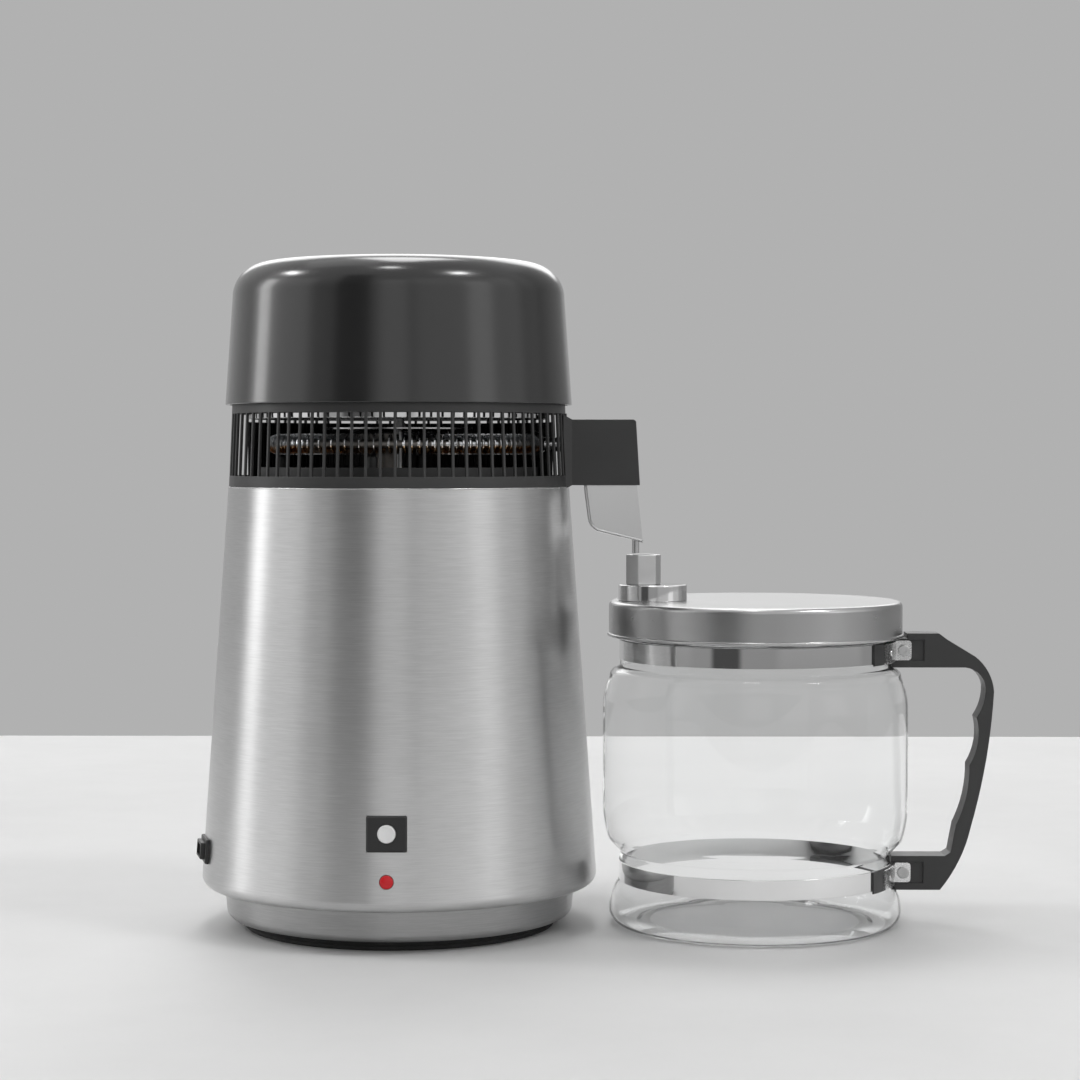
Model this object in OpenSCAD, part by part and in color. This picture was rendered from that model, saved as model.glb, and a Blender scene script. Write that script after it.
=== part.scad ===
// Countertop water distiller: boiler, lift-off fan head with spout, and glass jug with lid.
// Millimetres, +Z up. The origin is on the boiler's axis, on the counter. The jug stands at +X,
// the push buttons face -Y.

/* [Boiler] */
// Widest radius of the steel shell
shell_r = 115.3; // [112:0.1:118]
// Radius of the shell at its top edge
shell_top_r = 99.4; // [98:0.1:101]
// Height of the shell's top edge
shell_top = 255.6; // [250:0.1:262]
// Height of the lip under the shell
shell_lip = 24.6; // [22:0.1:28]
// Radius of the shell's bottom corner
shell_corner = 6; // [4:0.5:8]
// Thickness of the shell's sheet
shell_wall = 1; // [0.8:0.1:1.5]
// Radius of the base ring just under the shell
base_r = 102.4; // [101.5:0.1:103]
// Height of the underside of the base ring
base_bottom = 6; // [5:0.5:7]
// Outer radius of the rubber foot ring
foot_r = 90.5; // [89:0.5:92]
// Inner radius of the tank
tank_r = 88; // [84:0.5:90]
// Height of the tank's floor
tank_floor = 62; // [60:0.5:70]

/* [Controls] */
// Width of the control plate
plate_w = 22.5; // [20:0.5:26]
// Height of the control plate
plate_h = 20; // [18:0.5:24]
// Height of the power button's centre
power_z = 68.3; // [66:0.1:75]
// Radius of the power button
power_r = 5; // [4:0.1:6]
// Height of the reset button's centre
reset_z = 42.2; // [40:0.1:46]
// Radius of the reset button
reset_r = 3.7; // [3:0.1:4.2]
// Height of the power inlet's centre
inlet_z = 47; // [44:0.5:50]
// Azimuth of the power inlet
inlet_azimuth = 194; // [185:1:200]

/* [Head] */
// Number of slats in the vent cage
slat_count = 76; // [60:1:80]
// Width of one slat
slat_w = 1.9; // [1.5:0.1:2.2]
// Radius of the cage at its foot
cage_foot_r = 99.1; // [98.5:0.1:99.4]
// Radius of the cage at its top band
cage_top_r = 97; // [96.5:0.1:97.5]
// Height of the cage's top band
cage_top = 303.9; // [302:0.1:306]
// Radius of the cover at its rim
cover_r = 101; // [100:0.1:103]
// Height of the cover's crown
cover_top = 390; // [385:0.5:395]
// Radius of the cover's shoulder
cover_shoulder = 20; // [16:1:24]
// Wall of the cover
cover_wall = 2.5; // [2:0.1:3]

/* [Spout] */
// Reach of the spout box from the boiler's axis, at its lower edge
spout_reach = 140.4; // [138:0.1:142]
// Width of the spout box
spout_w = 32; // [31:0.5:34]
// Height of the top of the spout box
spout_top = 295.2; // [294:0.1:296]
// Height of the bottom of the spout box
spout_bottom = 257.1; // [256.8:0.1:258]
// Half the width of the nozzle
nozzle_r = 13; // [12:0.1:13]
// Wall of the nozzle
nozzle_wall = 1.2; // [1:0.1:1.5]
// Outer radius of the drip tube
drip_r = 2.1; // [1.8:0.1:2.2]
// Height of the lower end of the drip tube
drip_end = 217.2; // [217:0.1:218]

/* [Jug] */
// Distance of the jug's axis from the boiler's axis
jug_x = 208.3; // [206:0.1:215]
// Radius of the jug's body
jug_r = 89.1; // [88:0.1:90]
// Radius of the jug's neck and waist, where the bands sit
neck_r = 78.9; // [78:0.1:79]
// Thickness of the glass
glass_wall = 3; // [2.5:0.1:3.5]
// Height of the glass rim
glass_top = 186; // [185:0.1:187]
// Outer radius of the lid
lid_r = 85.6; // [85:0.1:86]
// Height of the top of the lid
lid_top = 189.6; // [189:0.1:190]
// Thickness of the handle
handle_w = 18; // [16:0.5:20]
// Distance of the inlet post from the jug's axis
post_offset = 65.4; // [64:0.1:65.5]
// Width across the flats of the inlet post
post_flats = 18.2; // [17:0.1:19]
// Height of the top of the inlet post
post_top = 216.4; // [212:0.1:216.4]

/* [Hidden] */
$fn = 96;
cut = 1;

// Finishes
charcoal = [0.2, 0.2, 0.21];
gloss_charcoal = [0.24, 0.24, 0.25];
black = [0.05, 0.05, 0.055];
steel = [0.72, 0.72, 0.73];
bright = [0.85, 0.86, 0.87];
brass = [0.8, 0.62, 0.3];
copper = [0.78, 0.45, 0.28];
silicone = [0.9, 0.9, 0.88];

// Points of an arc round c, from angle a0 to a1 in n steps
function arc(c, r, a0, a1, n) =
  [for (i = [0:n]) let (a = a0 + (a1 - a0) * i / n) [c[0] + r * cos(a), c[1] + r * sin(a)]];

// Points of a bow from p up to q, q left out. It stands h proud of the chord, to the right of its way
function bow(p, q, h, n) =
  let (
    chord = norm(q - p),
    along = (q - p) / chord,
    side = [along[1], -along[0]],
    r = (chord * chord / 4 + h * h) / (2 * h),
    centre = (p + q) / 2 + side * (h - r),
    half = asin(chord / 2 / abs(r))
  )
  [for (i = [0:n - 1]) let (a = half * (2 * i / n - 1)) centre + r * side * cos(a) + abs(r) * along * sin(a)];

// Shell: a straight taper over a rounded bottom corner
taper = atan((shell_r - shell_top_r) / (shell_top - shell_lip - shell_corner));
function shell_r_at(z) = shell_top_r + (shell_top - z) * tan(taper);
lip_open_r = base_r - 0.9;
rim_t = 0.8;
tank_wall = 0.8;
deck = shell_top + rim_t;

// Places children on the shell's wall: local X to the right, Y up the wall and Z outwards
module on_shell(z, azimuth)
  rotate([0, 0, azimuth])
    translate([shell_r_at(z), 0, z])
      rotate([0, 90 - taper, 0])
        rotate([0, 0, 90]) children();

// The same place for a single point
function on_wall(z, azimuth, p) =
  let (
    away = [cos(azimuth), sin(azimuth), 0],
    right = [-sin(azimuth), cos(azimuth), 0],
    r = shell_r_at(z) - p[1] * sin(taper) + p[2] * cos(taper)
  )
  r * away + p[0] * right + [0, 0, z + p[1] * cos(taper) + p[2] * sin(taper)];

module ring(r_out, r_in, z0, z1)
  difference() {
    translate([0, 0, z0]) cylinder(r = r_out, h = z1 - z0);
    translate([0, 0, z0 - cut]) cylinder(r = r_in, h = z1 - z0 + 2 * cut);
  }

module turned(points) rotate_extrude() polygon(points);

// Count copies round the axis at radius r, from angle a0
module round_axis(count, r, a0 = 0)
  for (i = [0:count - 1]) rotate([0, 0, a0 + i * 360 / count]) translate([r, 0, 0]) children();

module screw(head_r, head_h, shank_r, length) {
  cylinder(r = head_r, h = head_h, $fn = 32);
  translate([0, 0, head_h - 0.01]) cylinder(r = shank_r, h = length + 0.01, $fn = 32);
}

// Tube swept along points, flat at both ends. Its side is carried along the path without a twist
function unit(v) = v / norm(v);
function run_at(path, i) =
  i == 0 ? unit(path[1] - path[0])
  : i == len(path) - 1 ? unit(path[i] - path[i - 1])
  : unit(unit(path[i + 1] - path[i]) + unit(path[i] - path[i - 1]));
function sides_along(path, side, i = 0) =
  i == len(path) ? []
  : let (dir = run_at(path, i), s = unit(side - (side * dir) * dir)) concat([s], sides_along(path, s, i + 1));
function ring_at(p, dir, side, r, count) =
  [for (k = [0:count - 1]) let (a = 360 * k / count) p + r * (side * cos(a) + cross(dir, side) * sin(a))];

module swept(path, radii, sides, side) {
  last = len(path) - 1;
  normals = sides_along(path, side);
  points = [for (i = [0:last]) each ring_at(path[i], run_at(path, i), normals[i], radii[i], sides)];
  walls = [
    for (i = [0:last - 1], k = [0:sides - 1])
      let (a = i * sides + k, b = i * sides + (k + 1) % sides)
      each [[a, a + sides, b], [b, a + sides, b + sides]]
  ];
  first_cap = [for (k = [1:sides - 2]) [0, k, k + 1]];
  last_cap = [for (k = [1:sides - 2]) [last * sides, last * sides + k + 1, last * sides + k]];
  polyhedron(points, concat(walls, first_cap, last_cap), convexity = 6);
}

// Foot ring, base ring, base plate
foot_in_r = 82;
base_wall = 1.2;
flange_in_r = 75;
base_low_r = base_r - 1.8;
base_corner = 5;
plate_t = 1.2;
plate_z = base_bottom + base_wall;
screw_ring_r = 78.8;
tie_ring_r = 58;

module foot_ring() color(black) ring(foot_r, foot_in_r, 0, base_bottom);

module base_ring() {
  outer = concat(
    [[flange_in_r, base_bottom]],
    arc([base_low_r - base_corner, base_bottom + base_corner], base_corner, -90, 0, 8),
    [[base_r, shell_lip], [lip_open_r, shell_lip], [lip_open_r, shell_lip + shell_wall],
     [lip_open_r + 4, shell_lip + shell_wall], [lip_open_r + 4, shell_lip + shell_wall + 1]]
  );
  inner_r = base_low_r - base_wall;
  inner = concat(
    [[base_r - base_wall - 0.9, shell_lip + shell_wall + 1]],
    arc([base_low_r - base_corner, base_bottom + base_corner], base_corner - base_wall, 0, -90, 8),
    [[flange_in_r, base_bottom + base_wall]]
  );
  color(steel) difference() {
    turned(concat(outer, inner));
    round_axis(4, screw_ring_r, 45) cylinder(r = 1.8, h = 20, $fn = 32);
  }
}

module base_plate()
  color(black) difference() {
    translate([0, 0, plate_z]) cylinder(r = base_low_r - 6, h = plate_t);
    round_axis(4, screw_ring_r, 45) cylinder(r = 1.8, h = 20, $fn = 32);
    round_axis(3, tie_ring_r, 30) cylinder(r = 2.1, h = 20, $fn = 32);
  }

module base_screws()
  color(steel) round_axis(4, screw_ring_r, 45)
    translate([0, 0, base_bottom - 1.6]) screw(3, 1.6, 1.8, 5);

// Outer shell
button_hole_r = power_r + 0.3;
reset_hole_r = reset_r + 0.35;
socket_flange_r = 8;
socket_body_r = 6.5;
fan_outlet_z = 52;
inlet_w = 26;
inlet_h = 14;
inlet_body_w = 19;
inlet_body_h = 9.6;

function shell_outline(g) = concat(
  [[0, shell_lip + g]],
  arc([shell_r - shell_corner, shell_lip + shell_corner], shell_corner - g, -90, taper, 8),
  [[shell_top_r - g, shell_top]]
);

module block(w, h, z0, z1) translate([-w / 2, -h / 2, z0]) cube([w, h, z1 - z0]);

module shell_outside() turned(concat(shell_outline(0), [[0, shell_top]]));
module shell_inside()
  turned(concat(shell_outline(shell_wall), [[shell_top_r - shell_wall, shell_top + cut], [0, shell_top + cut]]));

module outer_shell()
  color(steel) difference() {
    shell_outside();
    shell_inside();
    cylinder(r = lip_open_r, h = shell_lip + 2 * shell_wall);
    on_shell(power_z, -90) block(plate_w, plate_h, -6, 6);
    on_shell(reset_z, -90) translate([0, 0, -6]) cylinder(r = reset_hole_r, h = 12);
    on_shell(inlet_z, inlet_azimuth) block(inlet_body_w, inlet_body_h, -6, 6);
    on_shell(fan_outlet_z, 90) translate([0, 0, -6]) cylinder(r = socket_body_r, h = 12);
  }

// Inner tank, hung from its rim on the shell's top edge
module inner_tank() {
  corner = 8;
  color(bright) difference() {
    turned(concat(
      [[0, tank_floor - tank_wall]],
      arc([tank_r + tank_wall - corner, tank_floor - tank_wall + corner], corner, -90, 0, 6),
      [[tank_r + tank_wall, shell_top], [shell_top_r + 0.3, shell_top], [shell_top_r + 0.3, deck], [0, deck]]
    ));
    turned(concat(
      [[0, tank_floor]],
      arc([tank_r + tank_wall - corner, tank_floor - tank_wall + corner], corner - tank_wall, -90, 0, 6),
      [[tank_r, deck + cut], [0, deck + cut]]
    ));
  }
}

// Heater below the tank
heater_t = 6;
heater_z = tank_floor - tank_wall - heater_t;
element_r = 48;
element_tube_r = 4;
shield_z = 34;

module element_torus(r)
  translate([0, 0, heater_z]) rotate_extrude() translate([element_r, 0]) circle(r = r, $fn = 32);

module heater_plate()
  color([0.66, 0.67, 0.68]) difference() {
    translate([0, 0, heater_z]) cylinder(r = 72, h = heater_t);
    element_torus(element_tube_r);
    round_axis(3, tie_ring_r, 30) cylinder(r = 2, h = heater_z + 5, $fn = 32);
  }

module heating_element()
  color([0.45, 0.44, 0.43]) {
    difference() {
      element_torus(element_tube_r);
      translate([-5, -element_r - 8, heater_z - 8]) cube([10, 16, 16]);
    }
    for (side = [-1, 1])
      translate([side * 8.5, -element_r, heater_z - 13]) cylinder(r = 2.4, h = 12, $fn = 32);
  }

module thermostat()
  color(silicone) {
    translate([0, 0, heater_z - 7]) cylinder(r = 9, h = 7);
    for (side = [-1, 1]) translate([side * 5 - 1.5, -0.4, heater_z - 13]) cube([3, 0.8, 6.5]);
  }

module heat_shield()
  color([0.6, 0.61, 0.62]) difference() {
    translate([0, 0, shield_z]) cylinder(r = 84, h = 0.8);
    round_axis(3, tie_ring_r, 30) translate([0, 0, shield_z - cut]) cylinder(r = 2, h = 3, $fn = 32);
  }

module tie_bolts()
  color(steel) round_axis(3, tie_ring_r, 30)
    translate([0, 0, plate_z - 2.4]) screw(4, 2.4, 2, heater_z + 4.5 - plate_z);

module hex_nut(flats, bore_r, h)
  difference() {
    cylinder(r = flats / 2 / cos(30), h = h, $fn = 6);
    translate([0, 0, -cut]) cylinder(r = bore_r, h = h + 2 * cut);
  }

module tie_nuts()
  color(steel) round_axis(3, tie_ring_r, 30) {
    translate([0, 0, plate_z + plate_t]) hex_nut(7, 2, 3.2);
    translate([0, 0, shield_z - 3.2]) hex_nut(7, 2, 3.2);
  }

// Controls on the front wall
plate_proud = 0.9;
plate_back = -3;
power_proud = 1;
power_foot = -7;
power_travel = 2.5;
switch_depth = 12;
reset_proud = 1.9;
reset_foot = -6;
reset_travel = 2;

module control_plate()
  color(black) on_shell(power_z, -90) difference() {
    block(plate_w, plate_h, plate_back, plate_proud);
    translate([0, 0, plate_back - cut]) cylinder(r = button_hole_r, h = 8);
  }

module power_switch()
  color([0.12, 0.12, 0.13]) on_shell(power_z, -90) difference() {
    block(17, 15, plate_back - switch_depth, plate_back);
    translate([0, 0, power_foot - power_travel - 1]) cylinder(r = button_hole_r, h = 12);
  }

module power_button()
  color([0.93, 0.93, 0.92]) on_shell(power_z, -90)
    turn_button(power_r, power_foot, plate_proud + power_proud, 0.6);

module turn_button(r, foot, face, edge)
  turned(concat([[0, foot], [r, foot]], arc([r - edge, face - edge], edge, 0, 90, 4), [[0, face]]));

cutout_depth = 17;

module reset_cutout()
  color([0.14, 0.13, 0.12]) difference() {
    intersection() {
      on_shell(reset_z, -90) translate([0, 0, -cutout_depth]) cylinder(r = 8, h = cutout_depth);
      shell_inside();
    }
    on_shell(reset_z, -90)
      translate([0, 0, reset_foot - reset_travel - 1]) cylinder(r = reset_hole_r, h = 12);
  }

module reset_button()
  color([0.85, 0.03, 0.06]) on_shell(reset_z, -90)
    turned(concat(
      [[0, reset_foot], [reset_r, reset_foot], [reset_r, reset_proud - 1]],
      [for (i = [1:5]) let (a = 18 * i) [reset_r * cos(a), reset_proud - 1 + sin(a)]]
    ));

// Sockets
pin_gap = 9.2;
pin_back = 17;
cavity_w = 15.4;
cavity_h = 6.6;
inlet_proud = 4;

module power_inlet()
  color(black) difference() {
    union() {
      difference() {
        on_shell(inlet_z, inlet_azimuth) block(inlet_w, inlet_h, -2, 1.4);
        shell_outside();
      }
      on_shell(inlet_z, inlet_azimuth) block(inlet_body_w, inlet_body_h, -14, inlet_proud);
    }
    on_shell(inlet_z, inlet_azimuth) {
      block(cavity_w, cavity_h, -10, inlet_proud + cut);
      for (side = [-1, 1]) translate([side * pin_gap / 2, 0, -15]) cylinder(r = 1.2, h = 6, $fn = 32);
    }
  }

module inlet_pins()
  color(brass) on_shell(inlet_z, inlet_azimuth)
    for (side = [-1, 1]) translate([side * pin_gap / 2, 0, -pin_back]) cylinder(r = 1.2, h = pin_back + 1, $fn = 32);

socket_depth = 9;
socket_back = socket_depth + 2;

module socket_flange() translate([0, 0, -1]) cylinder(r = socket_flange_r, h = 3.4);
module socket_body() translate([0, 0, -socket_back]) cylinder(r = socket_body_r, h = socket_back + 2.4);
module socket_bore() translate([0, 0, -socket_depth]) cylinder(r = 5, h = socket_depth + 4);

module fan_outlet()
  color(black) difference() {
    union() {
      difference() {
        on_shell(fan_outlet_z, 90) socket_flange();
        shell_outside();
      }
      on_shell(fan_outlet_z, 90) socket_body();
    }
    on_shell(fan_outlet_z, 90) socket_bore();
  }

// Wires in the base. Their points are chosen by hand, and each ends square on its terminal
wire_r = 1.3;
stub = 4;
leg_low = heater_z - 13;
function inlet_pin(side, back) = on_wall(inlet_z, inlet_azimuth, [side * pin_gap / 2, 0, -pin_back - back]);
function switch_pin(x, y, back) = on_wall(power_z, -90, [x, y, plate_back - switch_depth - back]);
function cutout_pin(x, back) = on_wall(reset_z, -90, [x, 0, -cutout_depth - back]);
function outlet_pin(x, back) = on_wall(fan_outlet_z, 90, [x, 0, -socket_back - back]);
base_wire_routes = [
  [inlet_pin(1, 0), inlet_pin(1, stub), [-80, -44, 40], [-52, -72, 38], [-24, -89, 46], [-14, -93.5, 62],
   switch_pin(-4, 4, stub), switch_pin(-4, 4, 0)],
  [switch_pin(4, -4, 0), switch_pin(4, -4, stub), [5, -93.5, 52], cutout_pin(3.5, stub), cutout_pin(3.5, 0)],
  [cutout_pin(-3.5, 0), cutout_pin(-3.5, stub + 1), [2, -82, 38.5], [22, -66, 37.3], [30, -30, 37.3],
   [20, 6, 37.3], [10, 7, 37.3], [5, 0, leg_low - stub], [5, 0, leg_low]],
  [[-5, 0, leg_low], [-5, 0, leg_low - stub], [-3, -14, 37.3], [5, -34, 37.3],
   [8.5, -element_r, leg_low - stub], [8.5, -element_r, leg_low]],
  [[-8.5, -element_r, leg_low], [-8.5, -element_r, leg_low - stub], [-24, -54, 37.3], [-56, -52, 37.3],
   [-76, -30, 38.5], inlet_pin(-1, stub), inlet_pin(-1, 0)],
  [outlet_pin(3, 0), outlet_pin(3, stub), [10, 88, 46], [40, 80, 44], [78, 50, 44], [91, 6, 44],
   [82, -40, 44], [52, -74, 44], [18, -88, 50], [0, -89.5, 55], switch_pin(-4, -4, stub), switch_pin(-4, -4, 0)],
  [outlet_pin(-3, 0), outlet_pin(-3, stub), [32, 93, 50], [72, 66, 50], [98, 20, 50], [93, -34, 50],
   [62, -77, 50], [26, -93, 56], [12, -94, 68], switch_pin(4, 4, stub), switch_pin(4, 4, 0)]
];

module wires(routes)
  for (route = routes) swept(route, [for (p = route) wire_r], 8, [0.3, 0.2, 1]);

module base_wires() color([0.75, 0.1, 0.08]) wires(base_wire_routes);

// Vent cage
cage_t = 3;
band_h = 6.3;
slat_top = 298.4;
slat_inset = 0.1;
cage_lean = atan((cage_foot_r - cage_top_r) / (cage_top - deck));
port_half = 9;
flange_z = 301;
flange_r = 84;
floor_in_r = 74;
floor_t = 2.6;
upstand_r = 81.2;
upstand_t = 2;
upstand_top = 267.6;
boss_ring_r = 91;
leg_ring_r = 88;
leg_start = -10;
collar_top = 312;
collar_r = 96.6;
function cage_r_at(z) = cage_foot_r - (z - deck) * tan(cage_lean);

module cage_band(z0, z1, inset = 0)
  turned([
    [cage_r_at(z0) - inset, z0], [cage_r_at(z1) - inset, z1],
    [cage_r_at(z1) - cage_t + inset, z1], [cage_r_at(z0) - cage_t + inset, z0]
  ]);

module slat(height)
  translate([cage_foot_r, 0, deck]) rotate([0, -cage_lean, 0])
    translate([slat_inset - cage_t, -slat_w / 2, 1]) cube([cage_t - 2 * slat_inset, slat_w, height]);

module vent_cage()
  color(charcoal) difference() {
    union() {
      cage_band(deck, deck + band_h);
      cage_band(slat_top, cage_top);
      for (i = [0:slat_count - 1])
        rotate([0, 0, (i + 0.5) * 360 / slat_count]) slat(slat_top - deck);
      intersection() {
        cage_band(deck + 1, slat_top + 1, slat_inset);
        translate([90, -port_half, deck]) cube([12, 2 * port_half, cage_top - deck]);
      }
      ring(cage_foot_r - cage_t + 0.5, floor_in_r, deck, deck + floor_t);
      ring(upstand_r, upstand_r - upstand_t, deck + 1, upstand_top);
      ring(cage_top_r - 1, flange_r, flange_z, cage_top);
      ring(collar_r, collar_r - 2.4, cage_top - 1, collar_top);
    }
    translate([80, 0, coil_z]) rotate([0, 90, 0]) cylinder(r = outlet_r, h = 30);
    round_axis(3, boss_ring_r, 30) translate([0, 0, 295]) cylinder(r = 1.6, h = 12, $fn = 32);
    round_axis(3, leg_ring_r, leg_start) translate([0, 0, 295]) cylinder(r = 1.5, h = 12, $fn = 32);
  }

// Dark wall behind the coil, on the cage's floor
guard_r = 90;
guard_t = 1.2;
guard_top = 293.6;

module air_guard()
  color(black) intersection() {
    ring(guard_r, guard_r - guard_t, deck + floor_t, guard_top);
    translate([-100, 6, 250]) cube([200, 100, 60]);
  }

// Bright ring under the cage's top flange, round the fan's air
shroud_r = 87.2;
shroud_low = 295.4;

module fan_shroud() color(bright) ring(shroud_r, shroud_r - 1.2, shroud_low, flange_z);

// Top cover
cover_rim = 303.6;
cover_side_r = 96.6;
cover_flat = cover_top - 4;
boss_r = 4.6;

function crown(r, z) = [for (i = [1:8]) let (k = 1 - i / 8) [r * k, z + (cover_top - cover_flat) * (1 - k * k)]];
function cover_outline(g) = concat(
  [[cover_r - g, cover_rim]],
  arc([cover_side_r - cover_shoulder, cover_flat - cover_shoulder], cover_shoulder - g, 0, 90, 10),
  crown(cover_side_r - cover_shoulder, cover_flat - g)
);

module top_cover()
  color(gloss_charcoal) difference() {
    union() {
      difference() {
        turned(concat([[0, cover_rim]], cover_outline(0)));
        turned(concat([[0, cover_rim - cut], [cover_r - cover_wall, cover_rim - cut]], cover_outline(cover_wall)));
      }
      intersection() {
        round_axis(3, boss_ring_r, 30) {
          translate([0, 0, cage_top]) cylinder(r = boss_r, h = 24, $fn = 32);
          translate([0, -1.5, collar_top + 0.3]) cube([12, 3, cage_top + 24 - collar_top - 0.3]);
        }
        turned(concat([[0, cover_rim]], cover_outline(1)));
      }
    }
    round_axis(3, boss_ring_r, 30) translate([0, 0, cage_top - cut]) cylinder(r = 1.6, h = 17, $fn = 32);
    ring(collar_r, collar_r - 2.4, cage_top - cut, collar_top);
    translate([0, 80, fan_inlet_z]) rotate([-90, 0, 0]) cylinder(r = socket_body_r, h = 40);
  }

module cover_screws()
  color(steel) round_axis(3, boss_ring_r, 30)
    translate([0, 0, flange_z - 1.8]) screw(3, 1.8, 1.6, 16);

fan_inlet_z = 322;

module on_cover_back() translate([0, cover_r - 1.4, fan_inlet_z]) rotate([-90, 0, 0]) children();

module fan_inlet()
  color(black) difference() {
    union() {
      difference() {
        on_cover_back() socket_flange();
        turned(concat([[0, cover_rim]], cover_outline(0)));
      }
      on_cover_back() socket_body();
    }
    on_cover_back() socket_bore();
  }

// Steam path
plate_seat = deck + floor_t;
plate_low = plate_seat + 1.2;
seal_h = 5;
coil_z = 280.8;
coil_out_r = 78;
coil_pitch = 16;
coil_turns = 2.2;
coil_tube_r = 4;
fin_r = 7.2;
fin_count = 198;
outlet_r = 4.2;
elbow_r = 8;
coil_start = -8;

module head_seal() color(silicone) ring(tank_r - 0.3, tank_r - 4, deck - seal_h, deck);

module steam_plate()
  color(bright) difference() {
    translate([0, 0, plate_seat]) cylinder(r = upstand_r - upstand_t, h = plate_low - plate_seat);
    translate(concat(riser_xy, [plate_seat - cut])) cylinder(r = riser_bore, h = 8, $fn = 48);
    translate([0, 0, plate_seat - cut]) cylinder(r = clamp_bolt_r, h = 8, $fn = 32);
  }

// Flat spiral of finned tube, from the elbow at the spout inwards to the riser. Each fin is a crest
fin_steps = 2 * fin_count;
coil_length = PI * coil_turns * (2 * coil_out_r - coil_pitch * coil_turns);
function coil_turn(s) = (coil_out_r - sqrt(coil_out_r * coil_out_r - coil_pitch * s / PI)) / coil_pitch;
function coil_point(turn) =
  let (r = coil_out_r - coil_pitch * turn, a = coil_start - 360 * turn) [r * cos(a), r * sin(a), coil_z];
coil_spiral = [for (i = [0:fin_steps]) coil_point(coil_turn(coil_length * i / fin_steps))];
coil_end_run = unit(coil_spiral[fin_steps] - coil_spiral[fin_steps - 1]);
coil_start_run = unit(coil_spiral[0] - coil_spiral[1]);
coil_path = concat(
  [coil_spiral[0] + coil_start_run * 2 * coil_tube_r],
  coil_spiral,
  [coil_spiral[fin_steps] + coil_end_run * 2 * coil_tube_r]
);
coil_radii = concat(
  [coil_tube_r],
  [for (i = [0:fin_steps]) i % 2 == 0 ? coil_tube_r : fin_r],
  [coil_tube_r]
);
riser_bore = 4.5;
riser_r = 6;
riser_centre = coil_spiral[fin_steps] + coil_end_run * (2 * coil_tube_r + riser_r - 2);
riser_xy = [riser_centre[0], riser_centre[1]];
coil_gap = min([
  for (i = [0:2:fin_steps], j = [i + 40:2:fin_steps]) norm(coil_spiral[j] - coil_spiral[i])
]) - 2 * fin_r;
echo(str("least gap between the coil's fins: ", coil_gap));

module condenser_coil() color(copper) swept(coil_path, coil_radii, 8, [0, 0, 1]);

// Round hole for the coil's plain end, run mm past p
module coil_hole(p, dir, run)
  translate(p) rotate([0, 0, atan2(dir[1], dir[0])]) rotate([0, 90, 0]) cylinder(r = coil_tube_r, h = run);

module steam_riser()
  color(bright) translate(riser_xy) difference() {
    union() {
      translate([0, 0, plate_low]) cylinder(r = riser_r + 2, h = 2, $fn = 6);
      translate([0, 0, plate_low]) cylinder(r = riser_r, h = coil_z + 6 - plate_low);
    }
    translate([0, 0, plate_seat]) cylinder(r = riser_bore, h = coil_z + 4 - plate_seat);
    translate(-[riser_xy[0], riser_xy[1], 0]) coil_hole(coil_spiral[fin_steps], coil_end_run, 2 * coil_tube_r + 0.01);
  }

// Posts under the coil's first turn
module coil_stands()
  color(steel) for (turn = [0.25, 0.5, 0.75])
    translate([coil_point(turn)[0], coil_point(turn)[1], plate_low])
      cylinder(r = 3, h = coil_z - fin_r - plate_low, $fn = 32);

// Plate that holds the coil down, on a bolt through the coil's middle
clamp_r = 43;
clamp_t = 2.6;
clamp_bolt_r = 2;

module coil_clamp()
  color(bright) difference() {
    translate([0, 0, coil_z + fin_r]) cylinder(r = clamp_r, h = clamp_t);
    translate([0, 0, coil_z]) cylinder(r = clamp_bolt_r, h = 20, $fn = 32);
  }

module clamp_bolt()
  color(steel) {
    translate([0, 0, plate_seat - 2.4]) screw(4, 2.4, clamp_bolt_r, coil_z + fin_r + clamp_t + 5 - plate_seat);
    translate([0, 0, coil_z + fin_r + clamp_t]) cylinder(r = 3.5, h = 3, $fn = 6);
  }

module outlet_elbow()
  color(bright) difference() {
    union() {
      translate([coil_out_r, 0, coil_z]) sphere(r = elbow_r, $fn = 48);
      translate([coil_out_r, 0, coil_z]) rotate([0, 90, 0]) cylinder(r = outlet_r, h = tube_end - coil_out_r);
    }
    translate([coil_out_r, 0, coil_z]) rotate([0, 90, 0]) cylinder(r = outlet_r - 1, h = tube_end);
    coil_hole(coil_spiral[0], coil_start_run, 2 * coil_tube_r + 0.01);
  }

// Fan: it hangs from a three-legged bracket that stands on the cage's top flange
leg_h = 42;
leg_w = 16;
bracket_t = 1.6;
bracket_top = cage_top + leg_h + bracket_t;
shaft_r = 3;
shaft_clear = 0.06;
motor_r = 27;
motor_h = 30;
motor_low = cage_top + leg_h - motor_h;
hub_z = 306;
hub_r = 16;
hub_h = 9;
blade_r = 70;
blade_count = 5;
blade_tilt = 14;

module fan_bracket()
  color(steel) difference() {
    union() {
      translate([0, 0, cage_top + leg_h]) cylinder(r = motor_r + 2, h = bracket_t);
      round_axis(3, 0, leg_start) {
        translate([0, -leg_w / 2, cage_top + leg_h]) cube([flange_r + bracket_t, leg_w, bracket_t]);
        translate([flange_r, -leg_w / 2, cage_top]) cube([bracket_t, leg_w, leg_h + bracket_t]);
        translate([flange_r, -leg_w / 2, cage_top]) cube([9, leg_w, bracket_t]);
      }
    }
    translate([0, 0, cage_top + leg_h - cut]) cylinder(r = shaft_r + 2, h = 5);
    round_axis(3, leg_ring_r, leg_start) translate([0, 0, 295]) cylinder(r = 1.5, h = 14, $fn = 32);
  }

module bracket_screws()
  color(steel) round_axis(3, leg_ring_r + 0.4, leg_start)
    translate([-0.4, 0, cage_top + bracket_t + 1.6]) mirror([0, 0, 1]) screw(2.4, 1.6, 1.5, 4);

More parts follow.
